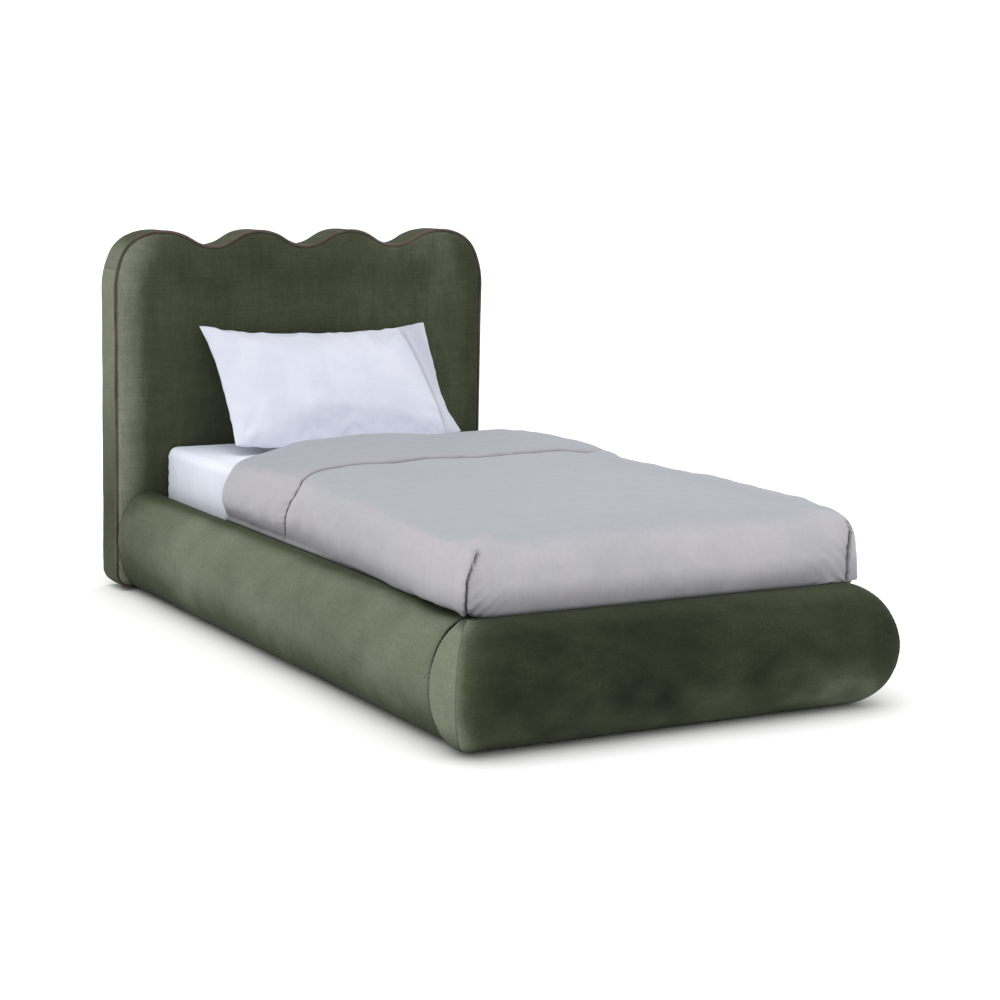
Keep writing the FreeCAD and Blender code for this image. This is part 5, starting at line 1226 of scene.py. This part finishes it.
# ==================================================================== pillow
def pillow():
    U, Vv = 0.405, 0.243
    nu, nv = 88, 54
    u = np.linspace(-U, U, nu)
    v = np.linspace(-Vv, Vv, nv)
    A, B = np.meshgrid(u, v, indexing="ij")
    e = np.minimum(1 - np.abs(A) / U, 1 - np.abs(B) / Vv)
    h = 0.030 * np.clip(e * 4, 0, 1) ** 0.5
    h += 0.0006 * waves(np.stack([A, B, A * 0], -1), 0.05, 201, 14) * (e > 0)
    front = np.stack([A, B, h], -1)
    back = np.stack([A, B, -h], -1)
    faces = grid_faces(nu, nv) + [q[::-1] for q in grid_faces(nu, nv, nu * nv)]
    grid_id = np.tile(np.arange(nu * nv), 2).astype(float)
    ob = build("pillow_case", [(np.concatenate([front.reshape(-1, 3), back.reshape(-1, 3)]), faces)], M_CASE,
               {"grid_id": [grid_id], "back_side": [np.repeat([0.0, 1.0], nu * nv)]}, weld=1e-6)
    seam_index = [int(round(d.value)) for d in ob.data.attributes["grid_id"].data]
    seam_face = [d.value for d in ob.data.attributes["back_side"].data]
    ob.data.attributes.remove(ob.data.attributes["grid_id"])
    ob.data.attributes.remove(ob.data.attributes["back_side"])
    mod = ob.modifiers.new("Cloth", "CLOTH")
    s = mod.settings
    s.quality = 5
    s.mass = 0.25
    s.tension_stiffness = s.compression_stiffness = 40
    s.shear_stiffness = 20
    s.bending_stiffness = 0.25
    s.use_pressure = True
    s.uniform_pressure_force = 3.0
    s.effector_weights.gravity = 0
    mod.collision_settings.use_self_collision = False
    for f in range(1, 27):
        scene.frame_set(f)
    dg = bpy.context.evaluated_depsgraph_get()
    me = bpy.data.meshes.new_from_object(ob.evaluated_get(dg))
    ob.modifiers.clear()
    old = ob.data
    ob.data = me
    bpy.data.meshes.remove(old)
    scene.frame_set(1)
    me = ob.data
    co = np.array([w.co for w in me.vertices])
    # put the seam line where the case's edges lie, keeping the inner creases
    key = np.array(seam_index)
    I_, J_ = key // nv, key % nv
    tu, tv = I_ / (nu - 1.0), J_ / (nv - 1.0)

    def spread(bottom, top, left, right):
        return ((1 - tv)[:, None] * bottom[I_] + tv[:, None] * top[I_] + (1 - tu)[:, None] * left[J_] + tu[:, None] * right[J_]
                - ((1 - tu) * (1 - tv))[:, None] * bottom[0] - (tu * (1 - tv))[:, None] * bottom[-1]
                - ((1 - tu) * tv)[:, None] * top[0] - (tu * tv)[:, None] * top[-1])

    front_side = np.array(seam_face) < 0.5
    edge_pt = (I_ == 0) | (I_ == nu - 1) | (J_ == 0) | (J_ == nv - 1)
    F3, B3 = np.zeros((nu, nv, 3)), np.zeros((nu, nv, 3))
    for k_, (i, j) in enumerate(zip(I_, J_)):
        if edge_pt[k_] or front_side[k_]:
            F3[i, j] = co[k_]
        if edge_pt[k_] or not front_side[k_]:
            B3[i, j] = co[k_]

    def calm(A, rounds):
        A = A.copy()
        for _ in range(rounds):
            A[1:-1, 1:-1] = (A[1:-1, 1:-1] * 4 + A[:-2, 1:-1] + A[2:, 1:-1] + A[1:-1, :-2] + A[1:-1, 2:]) / 8
        return A

    seamline = (F3[..., :2] + B3[..., :2]) / 2
    was = spread(seamline[:, 0], seamline[:, -1], seamline[0], seamline[-1])
    cs = np.linspace(0, 1, nu)
    cv = np.linspace(0, 1, nv)
    low_ = spline([(-0.363, -0.191), (-0.25, -0.202), (-0.02, -0.208), (0.24, -0.202), (0.370, -0.180)], cs)
    top_ = spline([(-0.374, 0.213), (-0.250, 0.188), (-0.030, 0.177), (0.101, 0.177), (0.255, 0.187), (0.358, 0.204)], cs)
    lft_ = spline([(-0.363, -0.191), (-0.353, -0.10), (-0.350, 0.011), (-0.357, 0.129), (-0.374, 0.213)], cv)
    rgt_ = spline([(0.370, -0.180), (0.347, -0.11), (0.340, -0.036), (0.346, 0.05), (0.352, 0.138), (0.358, 0.204)], cv)
    now = spread(low_, top_, lft_, rgt_)
    co[:, :2] = now + (co[:, :2] - was) * 0.55
    mid3 = (F3[..., 2] + B3[..., 2]) / 2
    half_f = calm((F3[..., 2] - B3[..., 2]) / 2, 3)
    sway3 = (
        waves(np.stack([np.repeat(cs[:, None], nv, 1), np.repeat(cv[None, :], nu, 0), mid3 * 0], -1), 0.9, 219, 6))
    fat = np.percentile(half_f, 99)
    half_f = half_f / fat * 0.060
    zed = np.where(front_side, half_f[I_, J_], -half_f[I_, J_]) + 0.004 * sway3[I_, J_]
    zed = np.where(edge_pt, 0.004 * sway3[I_, J_], zed)
    side_sign = np.where(edge_pt, 0.0, np.where(front_side, 1.0, -1.0))
    x, y = co[:, 0], co[:, 1]
    target = np.array([(-0.363, -0.191), (0.370, -0.176), (0.358, 0.204), (-0.374, 0.213)])
    n = zed.copy()
    z = side_sign
    uu, vv = x.copy(), y.copy()
    # the filling stops short of the open end, where the case hangs flat
    edge_u = 0.268 + 0.045 * smooth(0.19, -0.18, vv)
    beyond = smooth(-0.055, 0.045, uu - edge_u)
    n = n * (1 - 0.52 * beyond)
    crease = np.exp(-((uu - edge_u) / 0.007) ** 2) * smooth(0.21, 0.15, np.abs(vv))
    n = n - np.sign(n) * np.minimum(0.0070 * crease, np.abs(n) * 0.6)
    ridge = np.exp(-((uu - edge_u - 0.018) / 0.008) ** 2)
    n = n + np.sign(n) * 0.0028 * ridge * smooth(0.20, 0.12, np.abs(vv))
    # soft creases running in from the corners
    F = np.stack([uu, vv, uu * 0], -1)
    damp = smooth(0.0, 0.02, np.abs(n))
    for k, (px, py) in enumerate(target):
        r = np.hypot(uu - px, vv - py)
        ang = np.arctan2(vv - py, uu - px)
        n = n + np.sign(z) * damp * 0.0022 * np.exp(-r / 0.12) * smooth(0.02, 0.07, r) * np.sin(ang * 13 + k * 2.1 + 1.3 * np.sin(r * 30))
    n = n + np.sign(z) * damp * (0.0024 * waves(F, 0.17, 211, 10) + 0.0011 * waves(F, 0.055, 212, 14))
    # it leans on the headboard and rests on the sheet, so its back is flatter
    n = np.where(n < 0, n * 0.86, n)
    lean = math.radians(36.87)
    ca, sa = math.cos(lean), math.sin(lean)
    X = 0.022 + uu
    Y = 0.826 + vv * sa - n * ca
    Z = 0.597 + vv * ca + n * sa
    low = 0.4212 - Z
    Z = np.where(low > 0, 0.4212 + 0.0006 * np.exp(-low * 40), Z)
    Y = np.where(Y > 0.9715, 0.9715 + (Y - 0.9715) * 0.02, Y)
    out = np.stack([X, Y, Z], 1)
    me.vertices.foreach_set("co", out.astype(np.float32).ravel())
    # painted shade in the crease at the filling's end and over the flat open end
    painted_hem_shade = 0.30 * crease + 0.16 * beyond * smooth(0.06, 0.02, np.abs(uu - edge_u - 0.04)) + 0.07 * beyond
    at = me.attributes.new("painted_shade", "FLOAT", "POINT")
    at.data.foreach_set("value", np.clip(painted_hem_shade, 0, 1).astype(np.float32))
    me.update()
    if not me.materials:
        me.materials.append(M_CASE)
    me.polygons.foreach_set("use_smooth", [True] * len(me.polygons))
    sub = ob.modifiers.new("sub", "SUBSURF")
    sub.levels = sub.render_levels = 1
    dg = bpy.context.evaluated_depsgraph_get()
    fine = bpy.data.meshes.new_from_object(ob.evaluated_get(dg))
    ob.modifiers.clear()
    ob.data = fine
    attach(ob, "pillow")
    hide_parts("pillowcase", "pillow_filling")
    return ob


front_panel()
border()
piping()
back_cloth()
side_roll(-1, "left")
side_roll(1, "right")
foot_board()
mattress_and_sheet()
duvet()
pillow()

# ------------------------------------------------ finishes of the CAD pieces
finish_of = {
    "headboard_plywood_panel": M_PLY, "headboard_back_board": M_BOARD,
    "headboard_bottom_rail": M_PINE_X, "headboard_middle_rail": M_PINE_X, "headboard_top_rail": M_PINE_X,
    "headboard_side_post_left": M_PINE_Z, "headboard_side_post_right": M_PINE_Z,
    "headboard_upright_left": M_PINE_Z, "headboard_upright_right": M_PINE_Z,
    "headboard_spacer_blocks": M_PINE_X, "side_rail_core_left": M_PINE_Y, "side_rail_core_right": M_PINE_Y,
    "foot_board_core": M_PINE_X, "slat_ledge_left": M_PINE_Y, "slat_ledge_right": M_PINE_Y,
    "frame_bolts": M_ZINC, "tee_nuts": M_ZINC, "ledge_screws": M_ZINC,
    "slat_holders": M_PLASTIC, "floor_glides": M_PLASTIC,
}
for name, ob in NODES.items():
    if name.startswith("slat_") and name[5:].isdigit():
        mat = M_BEECH
    elif name.startswith("corner_bracket"):
        mat = M_STEEL
    else:
        mat = finish_of.get(name)
    if mat is None:
        continue
    ob.data.materials.clear()
    ob.data.materials.append(mat)
    ob.data.set_sharp_from_angle(angle=math.radians(32))

# ===================================================== floor, light, camera
def floor():
    me = bpy.data.meshes.new("floor")
    s = 22.0
    me.from_pydata([(-s, -s, 0), (s, -s, 0), (s, s, 0), (-s, s, 0)], [], [(0, 1, 2, 3)])
    m = Nodes("mat_floor", 0.9, Specular_IOR_Level=0.0)
    n = m.noise(3.0, 2.0, 0.5)
    col = m.mix(m.span(n, 0.3, 0.7), (0.97, 0.97, 0.97, 1), (0.99, 0.99, 0.99, 1))
    me.materials.append(m.done(col))
    ob = bpy.data.objects.new("floor", me)
    scene.collection.objects.link(ob)


floor()

world = bpy.data.worlds.new("studio")
scene.world = world
world.use_nodes = True
wt = world.node_tree
bg = wt.nodes["Background"]
bg.inputs[0].default_value = (1.0, 1.0, 1.0, 1)
bg.inputs[1].default_value = 0.95
bright = wt.nodes.new("ShaderNodeBackground")
bright.inputs[0].default_value = (1, 1, 1, 1)
bright.inputs[1].default_value = 1.05
mixer = wt.nodes.new("ShaderNodeMixShader")
path = wt.nodes.new("ShaderNodeLightPath")
wt.links.new(path.outputs["Is Camera Ray"], mixer.inputs[0])
wt.links.new(bg.outputs[0], mixer.inputs[1])
wt.links.new(bright.outputs[0], mixer.inputs[2])
wt.links.new(mixer.outputs[0], wt.nodes["World Output"].inputs[0])


def lamp(name, loc, aim, size, power, colour=(1, 1, 1)):
    d = bpy.data.lights.new(name, "AREA")
    d.shape = "RECTANGLE"
    d.size, d.size_y = size
    d.energy = power
    d.color = colour
    o = bpy.data.objects.new(name, d)
    o.location = loc
    o.rotation_mode = "QUATERNION"
    o.rotation_quaternion = (Vector(aim) - Vector(loc)).to_track_quat("-Z", "Y")
    scene.collection.objects.link(o)
    return o


def sun(name, aim, power, spread):
    d = bpy.data.lights.new(name, "SUN")
    d.energy = power
    d.angle = math.radians(spread)
    o = bpy.data.objects.new(name, d)
    o.rotation_mode = "QUATERNION"
    o.rotation_quaternion = Vector(aim).to_track_quat("-Z", "Y")
    o.location = (0, 0, 4)
    scene.collection.objects.link(o)


sun("key", (0.30, 0.20, -1.0), 1.15, 60)

cam_data = bpy.data.cameras.new("camera")
cam = bpy.data.objects.new("camera", cam_data)
scene.collection.objects.link(cam)
yaw, pitch, roll, focal = 0.5211, 0.1605, 0.0202, 2343.4825
fwd = Vector((math.sin(yaw) * math.cos(pitch), math.cos(yaw) * math.cos(pitch), -math.sin(pitch)))
right = Vector((math.cos(yaw), -math.sin(yaw), 0))
up = right.cross(fwd)
r2 = right * math.cos(roll) + up * math.sin(roll)
u2 = -right * math.sin(roll) + up * math.cos(roll)
m3 = Matrix((r2, u2, -fwd)).transposed()
cam.matrix_world = Matrix.Translation((-2.9421, -5.3236, 1.3656)) @ m3.to_4x4()
cam_data.sensor_fit = "HORIZONTAL"
cam_data.sensor_width = 36.0
cam_data.lens = focal / 1000.0 * 36.0
cam_data.clip_start, cam_data.clip_end = 0.05, 100.0
scene.camera = cam

scene.view_settings.view_transform = "Standard"
scene.view_settings.look = "None"
scene.view_settings.exposure = 0.0
scene.view_settings.gamma = 1.0
